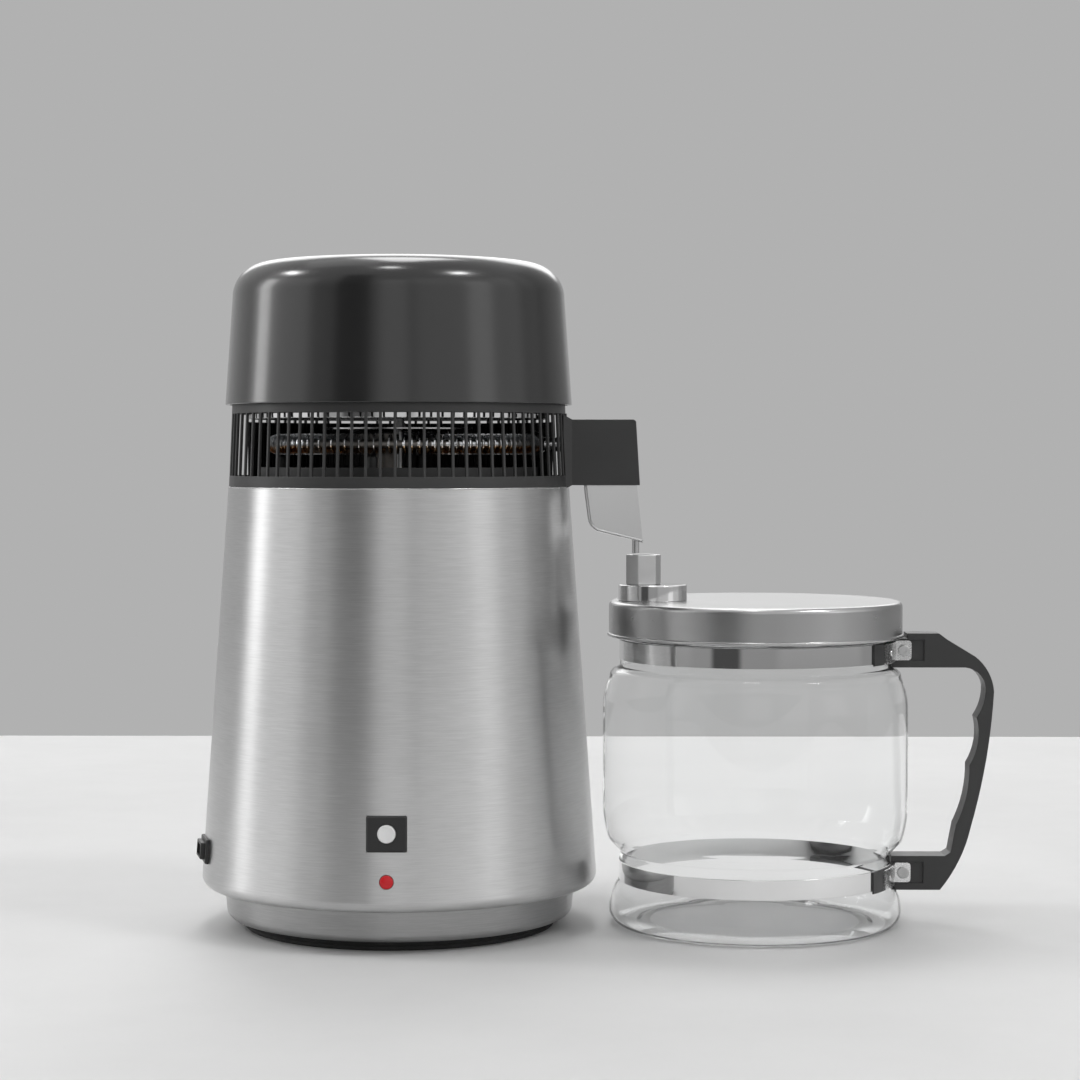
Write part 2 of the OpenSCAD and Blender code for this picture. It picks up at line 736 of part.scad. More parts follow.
module fan_motor()
  color([0.55, 0.55, 0.56]) difference() {
    translate([0, 0, motor_low]) cylinder(r = motor_r, h = motor_h);
    translate([0, 0, motor_low - cut]) cylinder(r = shaft_r + shaft_clear, h = motor_h - 6);
  }

module fan_shaft()
  color(bright) translate([0, 0, hub_z - 1]) cylinder(r = shaft_r, h = 30);

module fan_blades()
  color([0.8, 0.81, 0.82]) difference() {
    union() {
      translate([0, 0, hub_z]) cylinder(r = hub_r, h = hub_h);
      intersection() {
        ring(blade_r, hub_r - 3, hub_z, hub_z + hub_h);
        round_axis(blade_count, hub_r - 6, 20)
          translate([0, 0, hub_z + hub_h / 2]) rotate([blade_tilt, 0, 0]) translate([0, -15, -0.7]) cube([64, 30, 1.4]);
      }
    }
    translate([0, 0, hub_z - cut]) cylinder(r = shaft_r, h = 12);
  }

inlet_back_y = cover_r - 1.4 - socket_back;
head_wire_routes = [
  for (side = [-1, 1])
    [[side * 3, inlet_back_y, fan_inlet_z], [side * 3, inlet_back_y - stub, fan_inlet_z], [side * 5, 70, 327],
     [side * 5, 50, 331], [side * 4, 32, 330], [side * 4, motor_r - 0.1, 330]]
];

module head_wires() color([0.1, 0.1, 0.6]) wires(head_wire_routes);

// Spout box: closed on top and at the sides, open below and at its outer end
box_wall = 2.4;
box_lean = 2.3;
rail_z = 271;
rail_depth = 1;
tube_end = 113;

module side_view(points, w) rotate([90, 0, 0]) translate([0, 0, -w / 2]) linear_extrude(w) polygon(points);

module spout_box()
  color(charcoal) difference() {
    side_view(concat(
      [[90, spout_bottom], [spout_reach, spout_bottom]],
      arc([spout_reach - box_lean - 2, spout_top - 2], 2, 0, 90, 5),
      [[90, spout_top]]
    ), spout_w);
    turned([[0, deck - 5], [cage_r_at(deck - 5), deck - 5], [cage_r_at(cage_top), cage_top], [0, cage_top]]);
    translate([104, -nozzle_r - 0.6, spout_bottom - cut])
      cube([60, 2 * nozzle_r + 1.2, spout_top - box_wall - spout_bottom + cut]);
    translate([104, -nozzle_r - 0.6 - rail_depth, rail_z - 1.4]) cube([60, 2 * (nozzle_r + 0.6 + rail_depth), 2.8]);
    translate([80, 0, coil_z]) rotate([0, 90, 0]) cylinder(r = outlet_r, h = 30);
  }

// Nozzle: an open scoop, its mouth towards the jug
scoop_x = 107.9;
tip = [142.2, 223.8];
nozzle_top = 290;
mouth_slope = (tip[0] - 138.7) / (256.5 - tip[1]);
mouth_top_x = 138.7 - (nozzle_top - 256.5) * mouth_slope;
scoop_corner = 9;

function scoop_side(g) = concat(
  [[scoop_x + g, nozzle_top + g], [scoop_x + g, 250]],
  bow([scoop_x + 1.6 + g, 241.5], [scoop_x + 9.5 + g, 230.4 + g], 2.4, 6),
  [[scoop_x + 9.5 + g, 230.4 + g], [tip[0] + 3 * g, tip[1] + 0.9 * g], [mouth_top_x + 3 * g, nozzle_top + g]]
);

module scoop(g)
  intersection() {
    side_view(scoop_side(g), 4 * nozzle_r);
    translate([scoop_x + nozzle_r, 0, 200]) {
      cylinder(r = nozzle_r - g, h = 120);
      translate([0, -(nozzle_r - g), 0]) cube([60, 2 * (nozzle_r - g), 120]);
    }
  }

drip_x = 138.3;

module spout_nozzle()
  color(bright) difference() {
    union() {
      difference() {
        scoop(0);
        scoop(nozzle_wall);
      }
      for (side = [-1, 1])
        translate([scoop_x + nozzle_r, side * (nozzle_r + 0.2) - 0.6, rail_z - 1])
          cube([14, 1.2, 2]);
    }
    translate([scoop_x - 5, 0, coil_z]) rotate([0, 90, 0]) cylinder(r = outlet_r + 0.5, h = 12);
    translate([drip_x, 0, drip_end]) cylinder(r = drip_r, h = 12, $fn = 48);
  }

module drip_tube()
  color(bright) difference() {
    translate([drip_x, 0, drip_end]) cylinder(r = drip_r, h = 9.4, $fn = 48);
    translate([drip_x, 0, drip_end - cut]) cylinder(r = drip_r - 0.6, h = 12, $fn = 48);
  }

module charcoal_filter()
  color([0.88, 0.87, 0.84]) translate([scoop_x + nozzle_r, 0, 251]) cylinder(r = nozzle_r - nozzle_wall, h = 23);

// Jug glass: bulged foot, waist for the lower band, body, shoulder, neck for the upper band
waist_low = 26.3;
waist_high = 43.5;
body_low = 70;
body_high = 126;
neck_foot = 152;
bead_z = 168.6;

function glass_outline(g) = concat(
  arc([jug_r - 12.7, 9], 9 - g, -90, 0, 6),
  arc([jug_r - 31.7, 9], 28 - g, 6, 37.4, 4),
  [[neck_r - g, waist_low + g / 2], [neck_r - g, waist_high - g / 2]],
  [[neck_r + 1.2 - g, waist_high + 1.4 - g / 2]],
  arc([jug_r - 60, body_low], 60 - g, -19, 0, 5),
  arc([jug_r - 48, body_high], 48 - g, 0, 24, 5),
  arc([jug_r - 9.2, neck_foot - 7], 5.5 - g / 2, 24, 78, 3),
  [[neck_r - g, neck_foot - g / 2]]
);

module glass_outside()
  turned(concat(
    [[0, 2], [66, 2], [69, 0]],
    glass_outline(0),
    arc([neck_r, bead_z], 1.5, -90, 90, 6),
    [[neck_r, glass_top], [0, glass_top]]
  ));

module jug_glass()
  color([0.8, 0.88, 0.9, 0.35]) translate([jug_x, 0, 0]) difference() {
    glass_outside();
    turned(concat(
      [[0, glass_wall + 2], [66, glass_wall + 2]],
      glass_outline(glass_wall),
      [[neck_r - glass_wall, glass_top + cut], [0, glass_top + cut]]
    ));
  }

band_t = 0.7;
upper_band_z = [155.5, 167];
lower_band_z = [26.3, 37.7];

module band(span) color(bright) translate([jug_x, 0, 0]) ring(neck_r + band_t, neck_r, span[0], span[1]);
module upper_band() band(upper_band_z);
module lower_band() band(lower_band_z);

// Handle: side view from the jug's axis, with finger scallops down its inner edge
arm_top = 170.9;
arm_low = 20.8;
arm_h = 20;
notch_x = 88;
notch_top = 167.8;
upper_tab_z = 160.9;
lower_tab_z = 31;
screw_x = 86;
pad_t = 1;
pad_half_angle = 37;

handle_outer = concat(
  [[70, arm_low]],
  bow([107.7, arm_low], [125.5, 57.7], 2.4, 6),
  bow([125.5, 57.7], [138.6, 136.9], 2.2, 8),
  bow([138.6, 136.9], [127.5, 157.4], 2.5, 6),
  [[127.5, 157.4], [111.2, 167.3], [106.4, arm_top], [notch_x, arm_top], [notch_x, notch_top], [70, notch_top]]
);
handle_inner = concat(
  [[70, arm_top - arm_h]],
  bow([119.4, arm_top - arm_h], [133.6, 139.5], -3.7, 6),
  bow([133.6, 139.5], [128.5, 121.7], -1.5, 5),
  bow([128.5, 121.7], [124.4, 93.8], -2.9, 7),
  bow([124.4, 93.8], [116.7, 58.8], -2.2, 7),
  [[116.7, 58.8], [113.7, 42.9], [110.3, arm_low + arm_h], [70, arm_low + arm_h]]
);

// Piece of a ring on the jug's +X side, within half_angle of the X axis
module ring_sector(r_out, r_in, z0, z1, half_angle)
  intersection() {
    ring(r_out, r_in, z0, z1);
    translate([0, 0, z0 - cut]) linear_extrude(z1 - z0 + 2 * cut)
      polygon([[0, 0], [200, -200 * tan(half_angle)], [200, 200 * tan(half_angle)]]);
  }

band_out_r = neck_r + band_t;
tab_h = 11.8;
tab_t = 1.2;
pocket_depth = 1.4;
pocket_end = 97.8;

module tab_pocket(z)
  for (side = [-1, 1])
    translate([70, side * (handle_w / 2 - pocket_depth / 2 + cut / 2) - pocket_depth / 2 - cut / 2, z - 6.1])
      cube([pocket_end - 70, pocket_depth + cut, 12.2]);

module handle()
  color(charcoal) translate([jug_x, 0, 0]) difference() {
    union() {
      side_view(concat(handle_outer, handle_inner), handle_w);
      ring_sector(band_out_r + pad_t, band_out_r, upper_tab_z - 6.2, upper_tab_z + 6.2, pad_half_angle);
      ring_sector(band_out_r + pad_t, band_out_r, lower_tab_z - 6.2, lower_tab_z + 6.2, pad_half_angle);
    }
    cylinder(r = band_out_r, h = 200);
    glass_outside();
    for (z = [upper_tab_z, lower_tab_z]) {
      tab_pocket(z);
      translate([screw_x, 0, z]) rotate([90, 0, 0]) cylinder(r = 2, h = 40, center = true, $fn = 32);
    }
  }

// Angle tabs: one leg on the band's pad, one leg in the pocket on the handle's side
leg_angle = 28.5;
module band_tabs()
  color([0.8, 0.8, 0.79]) translate([jug_x, 0, 0])
    for (z = [upper_tab_z, lower_tab_z], side = [0, 1]) mirror([0, side, 0]) difference() {
      union() {
        intersection() {
          ring_sector(band_out_r + pad_t + tab_t, band_out_r + pad_t, z - tab_h / 2, z + tab_h / 2, leg_angle);
          translate([60, -60, 0]) cube([60, 60 - handle_w / 2 + pocket_depth - tab_t, 200]);
        }
        translate([band_out_r + 0.6, -handle_w / 2 + pocket_depth - tab_t, z - tab_h / 2])
          cube([10.6, tab_t, tab_h]);
      }
      translate([screw_x, 0, z]) rotate([90, 0, 0]) cylinder(r = 2, h = 40, $fn = 32);
    }

rivet_angle = 21;
module tab_rivets()
  color(bright) translate([jug_x, 0, 0])
    for (z = [upper_tab_z, lower_tab_z], side = [-1, 1])
      rotate([0, 0, side * rivet_angle]) translate([band_out_r + pad_t + tab_t, 0, z])
        rotate([0, 90, 0]) cylinder(r = 2, h = 0.8, $fn = 32);

grip_y = handle_w / 2 - pocket_depth + tab_t;

module handle_screws()
  color(bright) for (z = [upper_tab_z, lower_tab_z])
    translate([jug_x + screw_x, -grip_y - 1.6, z]) rotate([-90, 0, 0]) screw(3.4, 1.6, 2, 2 * grip_y + 4);

module handle_nuts()
  color(bright) for (z = [upper_tab_z, lower_tab_z])
    translate([jug_x + screw_x, grip_y, z]) rotate([-90, 0, 0]) hex_nut(6.8, 2, 3);

// Lid with its rolled rim, seal and inlet
lid_wall = 0.8;
lid_corner = 3;
bead_r = 1;
rim_z = 170;
post_x = jug_x - post_offset;
disc_x = jug_x - 60;
disc_r = 20.2;
disc_top = 199;
stem_r = 6;
stem_bore = 4.4;
mouth_bore = 6.8;
post_turn = 11;
stem_low = 183;

module jug_lid()
  color(steel) difference() {
    translate([jug_x, 0, 0]) {
      turned(concat(
        [[0, lid_top - lid_wall]],
        arc([lid_r - lid_corner, lid_top - lid_corner], lid_corner - lid_wall, 90, 0, 5),
        [[lid_r - lid_wall, rim_z], [lid_r, rim_z]],
        arc([lid_r - lid_corner, lid_top - lid_corner], lid_corner, 0, 90, 5),
        [[0, lid_top]]
      ));
      translate([0, 0, rim_z]) rotate_extrude() translate([lid_r - 0.2, 0]) circle(r = bead_r, $fn = 24);
    }
    translate([post_x, 0, 180]) cylinder(r = stem_r, h = 20);
  }

// The seal's lip hangs inside the neck and centres the lid
module lid_seal()
  color(silicone) translate([jug_x, 0, 0]) {
    ring(82, 73.6, glass_top, lid_top - lid_wall);
    ring(neck_r - glass_wall - 0.3, 73.6, glass_top - 4, glass_top + 0.5);
  }

module inlet_disc()
  color(bright) difference() {
    translate([disc_x, 0, 0]) turned(concat(
      [[0, lid_top], [disc_r, lid_top]],
      arc([disc_r - 0.8, disc_top - 0.8], 0.8, 0, 90, 4),
      [[0, disc_top]]
    ));
    translate([post_x, 0, 180]) cylinder(r = stem_r, h = 30);
  }

module inlet_post()
  color(bright) translate([post_x, 0, 0]) difference() {
    union() {
      translate([0, 0, disc_top]) rotate([0, 0, post_turn])
        cylinder(r = post_flats / 2 / cos(30), h = post_top - disc_top, $fn = 6);
      translate([0, 0, stem_low]) cylinder(r = stem_r, h = disc_top - stem_low + 1);
    }
    translate([0, 0, 180]) cylinder(r = stem_bore, h = 50);
    translate([0, 0, 204]) cylinder(r = mouth_bore, h = 20);
  }

module inlet_nut()
  color(steel) translate([post_x, 0, lid_top - lid_wall - 4.6]) rotate([0, 0, 30]) hex_nut(15, stem_r, 4.6);

foot_ring();
base_ring();
base_plate();
base_screws();
outer_shell();
inner_tank();
heater_plate();
heating_element();
thermostat();
heat_shield();
tie_bolts();
tie_nuts();
control_plate();
power_switch();
power_button();
reset_cutout();
reset_button();
power_inlet();
inlet_pins();
fan_outlet();
base_wires();
head_seal();
steam_plate();
vent_cage();
top_cover();
cover_screws();
spout_box();
steam_riser();
condenser_coil();
coil_stands();
coil_clamp();
clamp_bolt();
outlet_elbow();
air_guard();
fan_shroud();
fan_bracket();
bracket_screws();
fan_motor();
fan_shaft();
fan_blades();
fan_inlet();
head_wires();
spout_nozzle();
drip_tube();
charcoal_filter();
jug_glass();
upper_band();
lower_band();
handle();
band_tabs();
tab_rivets();
handle_screws();
handle_nuts();
jug_lid();
lid_seal();
inlet_disc();
inlet_post();
inlet_nut();
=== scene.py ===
"""Looks of a countertop water distiller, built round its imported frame.

Lengths are written in millimetres, and MM turns them into metres where a piece is made.
"""

import math

import bmesh
import bpy
from mathutils import Matrix, Vector


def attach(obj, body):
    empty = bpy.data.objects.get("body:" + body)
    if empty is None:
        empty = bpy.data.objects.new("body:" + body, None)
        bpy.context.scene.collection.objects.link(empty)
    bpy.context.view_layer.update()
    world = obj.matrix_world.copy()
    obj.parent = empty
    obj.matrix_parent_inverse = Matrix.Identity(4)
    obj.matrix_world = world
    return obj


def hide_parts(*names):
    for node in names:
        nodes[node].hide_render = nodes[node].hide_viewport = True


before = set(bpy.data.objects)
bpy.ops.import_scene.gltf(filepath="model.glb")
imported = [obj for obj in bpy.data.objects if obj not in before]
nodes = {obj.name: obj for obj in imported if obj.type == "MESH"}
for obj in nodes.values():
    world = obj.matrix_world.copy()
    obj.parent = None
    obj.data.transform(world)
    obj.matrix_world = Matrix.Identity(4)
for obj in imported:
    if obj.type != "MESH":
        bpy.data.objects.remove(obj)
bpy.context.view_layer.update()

MM = 0.001
# Place of the jug's upright axis along X
JUG = 208.3
# Corners nearer to each other than this are merged
DOUBLES = 0.002 * MM


# Ways of working


def clear():
    """Leaves edit mode and selects nothing."""
    if bpy.context.object and bpy.context.object.mode == "EDIT":
        bpy.ops.object.mode_set(mode="OBJECT")
    bpy.ops.object.select_all(action="DESELECT")


def take(piece):
    """Selects one piece and makes it the active one."""
    clear()
    piece.select_set(True)
    bpy.context.view_layer.objects.active = piece


def begin(name):
    """Names the primitive just added and moves its place into its mesh."""
    piece = bpy.context.object
    piece.name = name
    bpy.ops.object.transform_apply(location=True, rotation=True, scale=True)
    return piece


def edit(piece):
    """Opens a piece in edit mode with all of it selected."""
    take(piece)
    bpy.ops.object.mode_set(mode="EDIT")
    bpy.ops.mesh.select_mode(type="VERT")
    bpy.ops.mesh.select_all(action="SELECT")


def choose(kind, test):
    """Selects the edges or faces whose middle passes the test."""
    bpy.ops.mesh.select_mode(type=kind)
    bpy.ops.mesh.select_all(action="DESELECT")
    data = bpy.context.object.data
    mesh = bmesh.from_edit_mesh(data)
    for part in {"EDGE": mesh.edges, "FACE": mesh.faces}[kind]:
        middle = sum((c.co for c in part.verts), Vector()) / len(part.verts) / MM
        if test(middle):
            part.select_set(True)
    bmesh.update_edit_mesh(data)


def stretch(x, y, z, about):
    bpy.ops.transform.resize(value=(x, y, z), center_override=Vector(about) * MM)


def close_up(piece):
    """Merges doubles and turns all faces outwards."""
    edit(piece)
    bpy.ops.mesh.remove_doubles(threshold=DOUBLES)
    bpy.ops.mesh.normals_make_consistent(inside=False)
    bpy.ops.object.mode_set(mode="OBJECT")


def modify(piece, kind, **settings):
    """Adds a modifier and applies it."""
    take(piece)
    step = piece.modifiers.new(kind.lower(), kind)
    for name, value in settings.items():
        setattr(step, name, value)
    bpy.ops.object.modifier_apply(modifier=step.name)
    return piece


def soften(piece, width, segments=2, limit=35):
    """Bevels the edges that turn by more than limit degrees."""
    return modify(
        piece, "BEVEL", width=width * MM, segments=segments,
        limit_method="ANGLE", angle_limit=math.radians(limit)
    )


def cut(piece, *tools):
    """Cuts the tools out of the piece and removes them."""
    for tool in tools:
        modify(piece, "BOOLEAN", operation="DIFFERENCE", solver="EXACT", object=tool)
        bpy.data.objects.remove(tool)
    return piece


def joined(name, *pieces):
    take(pieces[0])
    for piece in pieces[1:]:
        piece.select_set(True)
    bpy.ops.object.join()
    pieces[0].name = name
    return pieces[0]


def placed(piece, place):
    """Moves the piece by a matrix and keeps its object at the origin."""
    take(piece)
    piece.matrix_world = place
    bpy.ops.object.transform_apply(location=True, rotation=True, scale=True)
    return piece


def twin(piece, place):
    """Copies the piece, with a mesh of its own, and places the copy."""
    take(piece)
    bpy.ops.object.duplicate()
    return placed(bpy.context.object, place)


def move(x, y, z):
    return Matrix.Translation(Vector((x, y, z)) * MM)


def spun(degrees, x=0.0):
    """Turn about the upright axis through (x, 0, 0)."""
    return move(x, 0, 0) @ Matrix.Rotation(math.radians(degrees), 4, "Z") @ move(-x, 0, 0)


def arc(a, b, radius, start, end, count):
    """Points of an arc round (a, b), angles in degrees."""
    angles = [math.radians(start + (end - start) * i / count) for i in range(count + 1)]
    return [(a + radius * math.cos(t), b + radius * math.sin(t)) for t in angles]


def rounded(*corners, closed=True):
    """Outline whose corners (a, b, radius) are rounded; a corner (a, b) stays sharp."""
    points = []
    for i, (a, b, *radius) in enumerate(corners):
        end = not closed and i in (0, len(corners) - 1)
        if not radius or end:
            points.append((a, b))
            continue
        here = Vector((a, b))
        before = (Vector(corners[i - 1][:2]) - here).normalized()
        after = (Vector(corners[(i + 1) % len(corners)][:2]) - here).normalized()
        half = before.angle(after) / 2
        middle = here + (before + after).normalized() * radius[0] / math.sin(half)
        first = (here + before * radius[0] / math.tan(half) - middle).normalized()
        last = (here + after * radius[0] / math.tan(half) - middle).normalized()
        count = max(2, round((180 - math.degrees(2 * half)) / 11))
        points += [tuple(middle + radius[0] * first.slerp(last, k / count)) for k in range(count + 1)]
    return points


def bow(a, b, rise, count):
    """Points of a bow from a up to b, b left out, standing rise proud to the right of its way."""
    a, b = Vector(a), Vector(b)
    along = (b - a).normalized()
    side = Vector((along.y, -along.x))
    chord = (b - a).length
    radius = (chord * chord / 4 + rise * rise) / (2 * rise)
    middle = (a + b) / 2 + side * (rise - radius)
    half = math.asin(chord / 2 / abs(radius))
    points = []
    for i in range(count):
        t = half * (2 * i / count - 1)
        points.append(tuple(middle + radius * side * math.cos(t) + abs(radius) * along * math.sin(t)))
    return points


def corner(name, x, y, z):
    """One loose corner to extrude from, in edit mode."""
    clear()
    bpy.ops.mesh.primitive_plane_add(size=MM, location=Vector((x, y, z)) * MM)
    piece = begin(name)
    edit(piece)
    bpy.ops.mesh.merge(type="CENTER")
    return piece


def draw(points):
    """Extrudes the selected corner along points (x, z)."""
    for here, there in zip(points, points[1:]):
        step = Vector((there[0] - here[0], 0, there[1] - here[1])) * MM
        bpy.ops.mesh.extrude_vertices_move(TRANSFORM_OT_translate={"value": step})


def turned(name, outline, x=0.0, steps=128, sweep=360.0):
    """Outline (radius, height) drawn corner by corner and spun round the upright axis at x.

    A part turn is centred on the +X direction.
    """
    outline = [tuple(p) for p in outline]
    piece = corner(name, x + outline[0][0], 0, outline[0][1])
    on_axis = outline[0][0] < 0.001 and outline[-1][0] < 0.001
    draw(outline if on_axis else outline + outline[:1])
    bpy.ops.mesh.select_all(action="SELECT")
    bpy.ops.mesh.remove_doubles(threshold=DOUBLES)
    bpy.ops.mesh.spin(steps=steps, angle=math.radians(sweep), center=(x * MM, 0, 0), axis=(0, 0, 1))
    close_up(piece)
    if sweep < 360:
        edit(piece)
        bpy.ops.mesh.fill_holes(sides=0)
        close_up(piece)
        placed(piece, spun(sweep / 2, x))
    return piece


def slab(name, outline, y0, y1):
    """Outline (x, z) drawn corner by corner, filled and extruded from y0 to y1."""
    outline = [tuple(p) for p in outline]
    piece = corner(name, outline[0][0], y0, outline[0][1])
    draw(outline + outline[:1])
    bpy.ops.mesh.select_all(action="SELECT")
    bpy.ops.mesh.remove_doubles(threshold=DOUBLES)
    bpy.ops.mesh.edge_face_add()
    bpy.ops.mesh.extrude_region_move(TRANSFORM_OT_translate={"value": (0, (y1 - y0) * MM, 0)})
    close_up(piece)
    return piece


def brick(name, size, middle=(0, 0, 0)):
    clear()
    bpy.ops.mesh.primitive_cube_add(size=MM, location=Vector(middle) * MM, scale=size)
    return begin(name)


def drum(name, radius, z0, z1, x=0.0, y=0.0, sides=48):
    clear()
    place = Vector((x, y, (z0 + z1) / 2)) * MM
    depth = (z1 - z0) * MM
    bpy.ops.mesh.primitive_cylinder_add(vertices=sides, radius=radius * MM, depth=depth, location=place)
    return begin(name)


def done(piece, body, material, *replaced, slot=None, smooth=32):
    """Smooths and paints a piece, and lets it ride on its body and stand for its CAD nodes."""
    take(piece)
    bpy.ops.object.shade_smooth_by_angle(angle=math.radians(smooth))
    modify(piece, "WEIGHTED_NORMAL", keep_sharp=True, weight=100)
    piece.data.name = piece.name
    piece.data.materials.clear()
    piece.data.materials.append(material)
    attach(piece, body)
    if replaced:
        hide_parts(*replaced)
    return piece


# Materials


class Wiring:
    """A node tree under construction, whose nodes are linked as they are added."""

    def __init__(self, tree):
        self.tree = tree

    def add(self, kind, inputs=None, **settings):
        node = self.tree.nodes.new("ShaderNode" + kind)
        for name, value in settings.items():
            setattr(node, name, value)
        for key, value in (inputs or {}).items():
            if isinstance(value, bpy.types.NodeSocket):
                self.tree.links.new(value, node.inputs[key])
            else:
                node.inputs[key].default_value = value
        return node

    def calc(self, operation, first, second=0.0):
        return self.add("Math", {0: first, 1: second}, operation=operation).outputs["Value"]

    def between(self, value, low, high, start=0.3, end=0.7, soft=False):
        inputs = {"Value": value, "From Min": start, "From Max": end, "To Min": low, "To Max": high}
        ease = "SMOOTHSTEP" if soft else "LINEAR"
        return self.add("MapRange", inputs, interpolation_type=ease).outputs["Result"]


class Finish(Wiring):
    """A material under construction, with its shader and its place on the object."""

    def __init__(self, name, **sockets):
        self.material = bpy.data.materials.new(name)
        self.material.use_nodes = True
        super().__init__(self.material.node_tree)
        self.shader = self.tree.nodes["Principled BSDF"]
        for socket, value in sockets.items():
            self.shader.inputs[socket.replace("_", " ")].default_value = value
        self.place = self.tree.nodes.new("ShaderNodeTexCoord").outputs["Object"]

    def link(self, output, socket):
        self.tree.links.new(output, self.shader.inputs[socket])

    def scaled(self, *scale, shift=(0, 0, 0)):
        mapping = self.add("Mapping", {"Vector": self.place})
        mapping.inputs["Scale"].default_value = scale
        mapping.inputs["Location"].default_value = shift
        return mapping.outputs["Vector"]

    def noise(self, scale, detail=3.0, vector=None, roughness=0.55):
        inputs = {"Vector": vector or self.place, "Scale": scale, "Detail": detail, "Roughness": roughness}
        return self.add("TexNoise", inputs).outputs["Fac"]

    def tint(self, value, dark, light, start=0.3, end=0.7):
        ramp = self.add("ValToRGB", {"Fac": value})
        ramp.color_ramp.elements[0].position = start
        ramp.color_ramp.elements[0].color = (*dark, 1)
        ramp.color_ramp.elements[1].position = end
        ramp.color_ramp.elements[1].color = (*light, 1)
        return ramp.outputs["Color"]

    def bump(self, height, strength, distance=0.05):
        inputs = {"Height": height, "Strength": strength, "Distance": distance * MM}
        return self.add("Bump", inputs).outputs["Normal"]


def grey(value):
    return (value, value, value)


def moulded_plastic(name, dark, light, rough, grain=2600.0, grain_depth=0.12, **sockets):
    """Plastic with slow colour drift, a fine moulded grain and faint handling marks."""
    look = Finish(name, **sockets)
    drift = look.noise(18.0, 3.0)
    look.link(look.tint(drift, dark, light), "Base Color")
    marks = look.noise(140.0, 5.0, roughness=0.7)
    look.link(look.between(marks, rough[0], rough[1]), "Roughness")
    look.link(look.bump(look.noise(grain, 2.0), grain_depth, 0.02), "Normal")
    return look.material


def brushed_steel(name, dark, light, rough, along=90.0, across=2600.0, anisotropy=0.8, depth=0.03):
    """Steel brushed round its axis: fine level scratches, a few longer ones, and slow clouding."""
    look = Finish(name, Metallic=1.0, Anisotropic=anisotropy, Anisotropic_Rotation=0.25)
    fine = look.noise(1.0, 4.0, look.scaled(along, along, across), 0.7)
    long = look.noise(1.0, 2.0, look.scaled(along / 2, along / 2, across / 2), 0.6)
    cloud = look.noise(9.0, 2.0)
    mixed = look.calc("ADD", look.calc("ADD", fine, long), cloud)
    look.link(look.tint(look.calc("MULTIPLY", mixed, 1 / 3), dark, light, 0.4, 0.6), "Base Color")
    look.link(look.between(fine, rough[0], rough[1]), "Roughness")
    look.link(look.bump(fine, depth, 0.02), "Normal")
    tangent = look.add("Tangent", direction_type="RADIAL", axis="Z")
    look.link(tangent.outputs["Tangent"], "Tangent")
    return look.material


def bare_metal(name, dark, light, rough, scale=60.0, depth=0.05):
    """Plain or polished metal with slow tone changes, faint smears and tiny dents."""
    look = Finish(name, Metallic=1.0)
    look.link(look.tint(look.noise(scale / 3, 3.0), dark, light), "Base Color")
    smears = look.noise(scale * 3, 4.0, look.scaled(1.0, 1.0, 3.0), 0.65)
    look.link(look.between(smears, rough[0], rough[1]), "Roughness")
    look.link(look.bump(look.noise(scale * 12, 2.0), depth, 0.02), "Normal")
    return look.material


def clear_glass():
    """Clear thin glass, a little wavy, with a faint veil of handling marks and a quiet flat base."""
    look = Finish("clear_glass", Transmission_Weight=1.0, Coat_IOR=1.45, Coat_Roughness=0.02)
    from_axis = look.scaled(1.0, 1.0, 0.0, shift=(-JUG * MM, 0, 0))
    radius = look.add("VectorMath", {"Vector": from_axis}, operation="LENGTH").outputs["Value"]
    for socket, base, wall in (("Coat Weight", 0.0, 0.5), ("IOR", 1.01, 1.05), ("Alpha", 0.35, 1.0)):
        look.link(look.between(radius, base, wall, 0.06, 0.07), socket)
    waves = look.noise(14.0, 1.0)
    look.link(look.tint(waves, (0.985, 0.99, 0.99), (1.0, 1.0, 1.0)), "Base Color")
    look.link(look.between(look.noise(90.0, 5.0), 0.0, 0.02, 0.5, 0.8), "Roughness")
    look.link(look.bump(waves, 0.05, 0.3), "Normal")
    return look.material


def finned_metal():
    """Thin aluminium fins with a painted reflection: a patchy coppery band low on each fin, just above its
    lower edge.
    """
    look = Finish("coil_fins", Metallic=1.0)
    height = look.add("SeparateXYZ", {"Vector": look.place}).outputs["Z"]
    # Painted reflection: the coppery band is colour laid on by height, from just above the fins' lower edge
    # to below their middle, patchy along the coil
    low = look.between(height, 1.0, 0.0, 0.2788, 0.2804)
    rim = look.between(height, 0.0, 1.0, 0.2752, 0.2762)
    patch = look.between(look.noise(60.0, 3.0), 0.3, 1.0, 0.35, 0.6)
    painted_reflection = look.calc("MULTIPLY", look.calc("MULTIPLY", low, rim), patch)
    look.link(look.tint(painted_reflection, (0.86, 0.87, 0.88), (0.66, 0.42, 0.22), 0.1, 0.75), "Base Color")
    look.link(look.between(look.noise(300.0, 3.0), 0.12, 0.24), "Roughness")
    look.link(look.bump(look.noise(900.0, 2.0), 0.2, 0.05), "Normal")
    return look.material


def woven_cloth():
    """Pale filter fleece with crossed threads."""
    look = Finish("filter_cloth", Sheen_Weight=0.3)
    threads = {"Vector": look.place, "Scale": 420.0, "Distortion": 1.5}
    across = look.add("TexWave", threads, bands_direction="Z")
    around = look.add("TexWave", threads, bands_direction="X")
    weave = look.calc("MULTIPLY", across.outputs["Fac"], around.outputs["Fac"])
    look.link(look.tint(weave, (0.62, 0.6, 0.56), (0.82, 0.81, 0.77)), "Base Color")
    look.link(look.between(look.noise(200.0), 0.8, 0.95), "Roughness")
    look.link(look.bump(weave, 0.5, 0.15), "Normal")
    return look.material


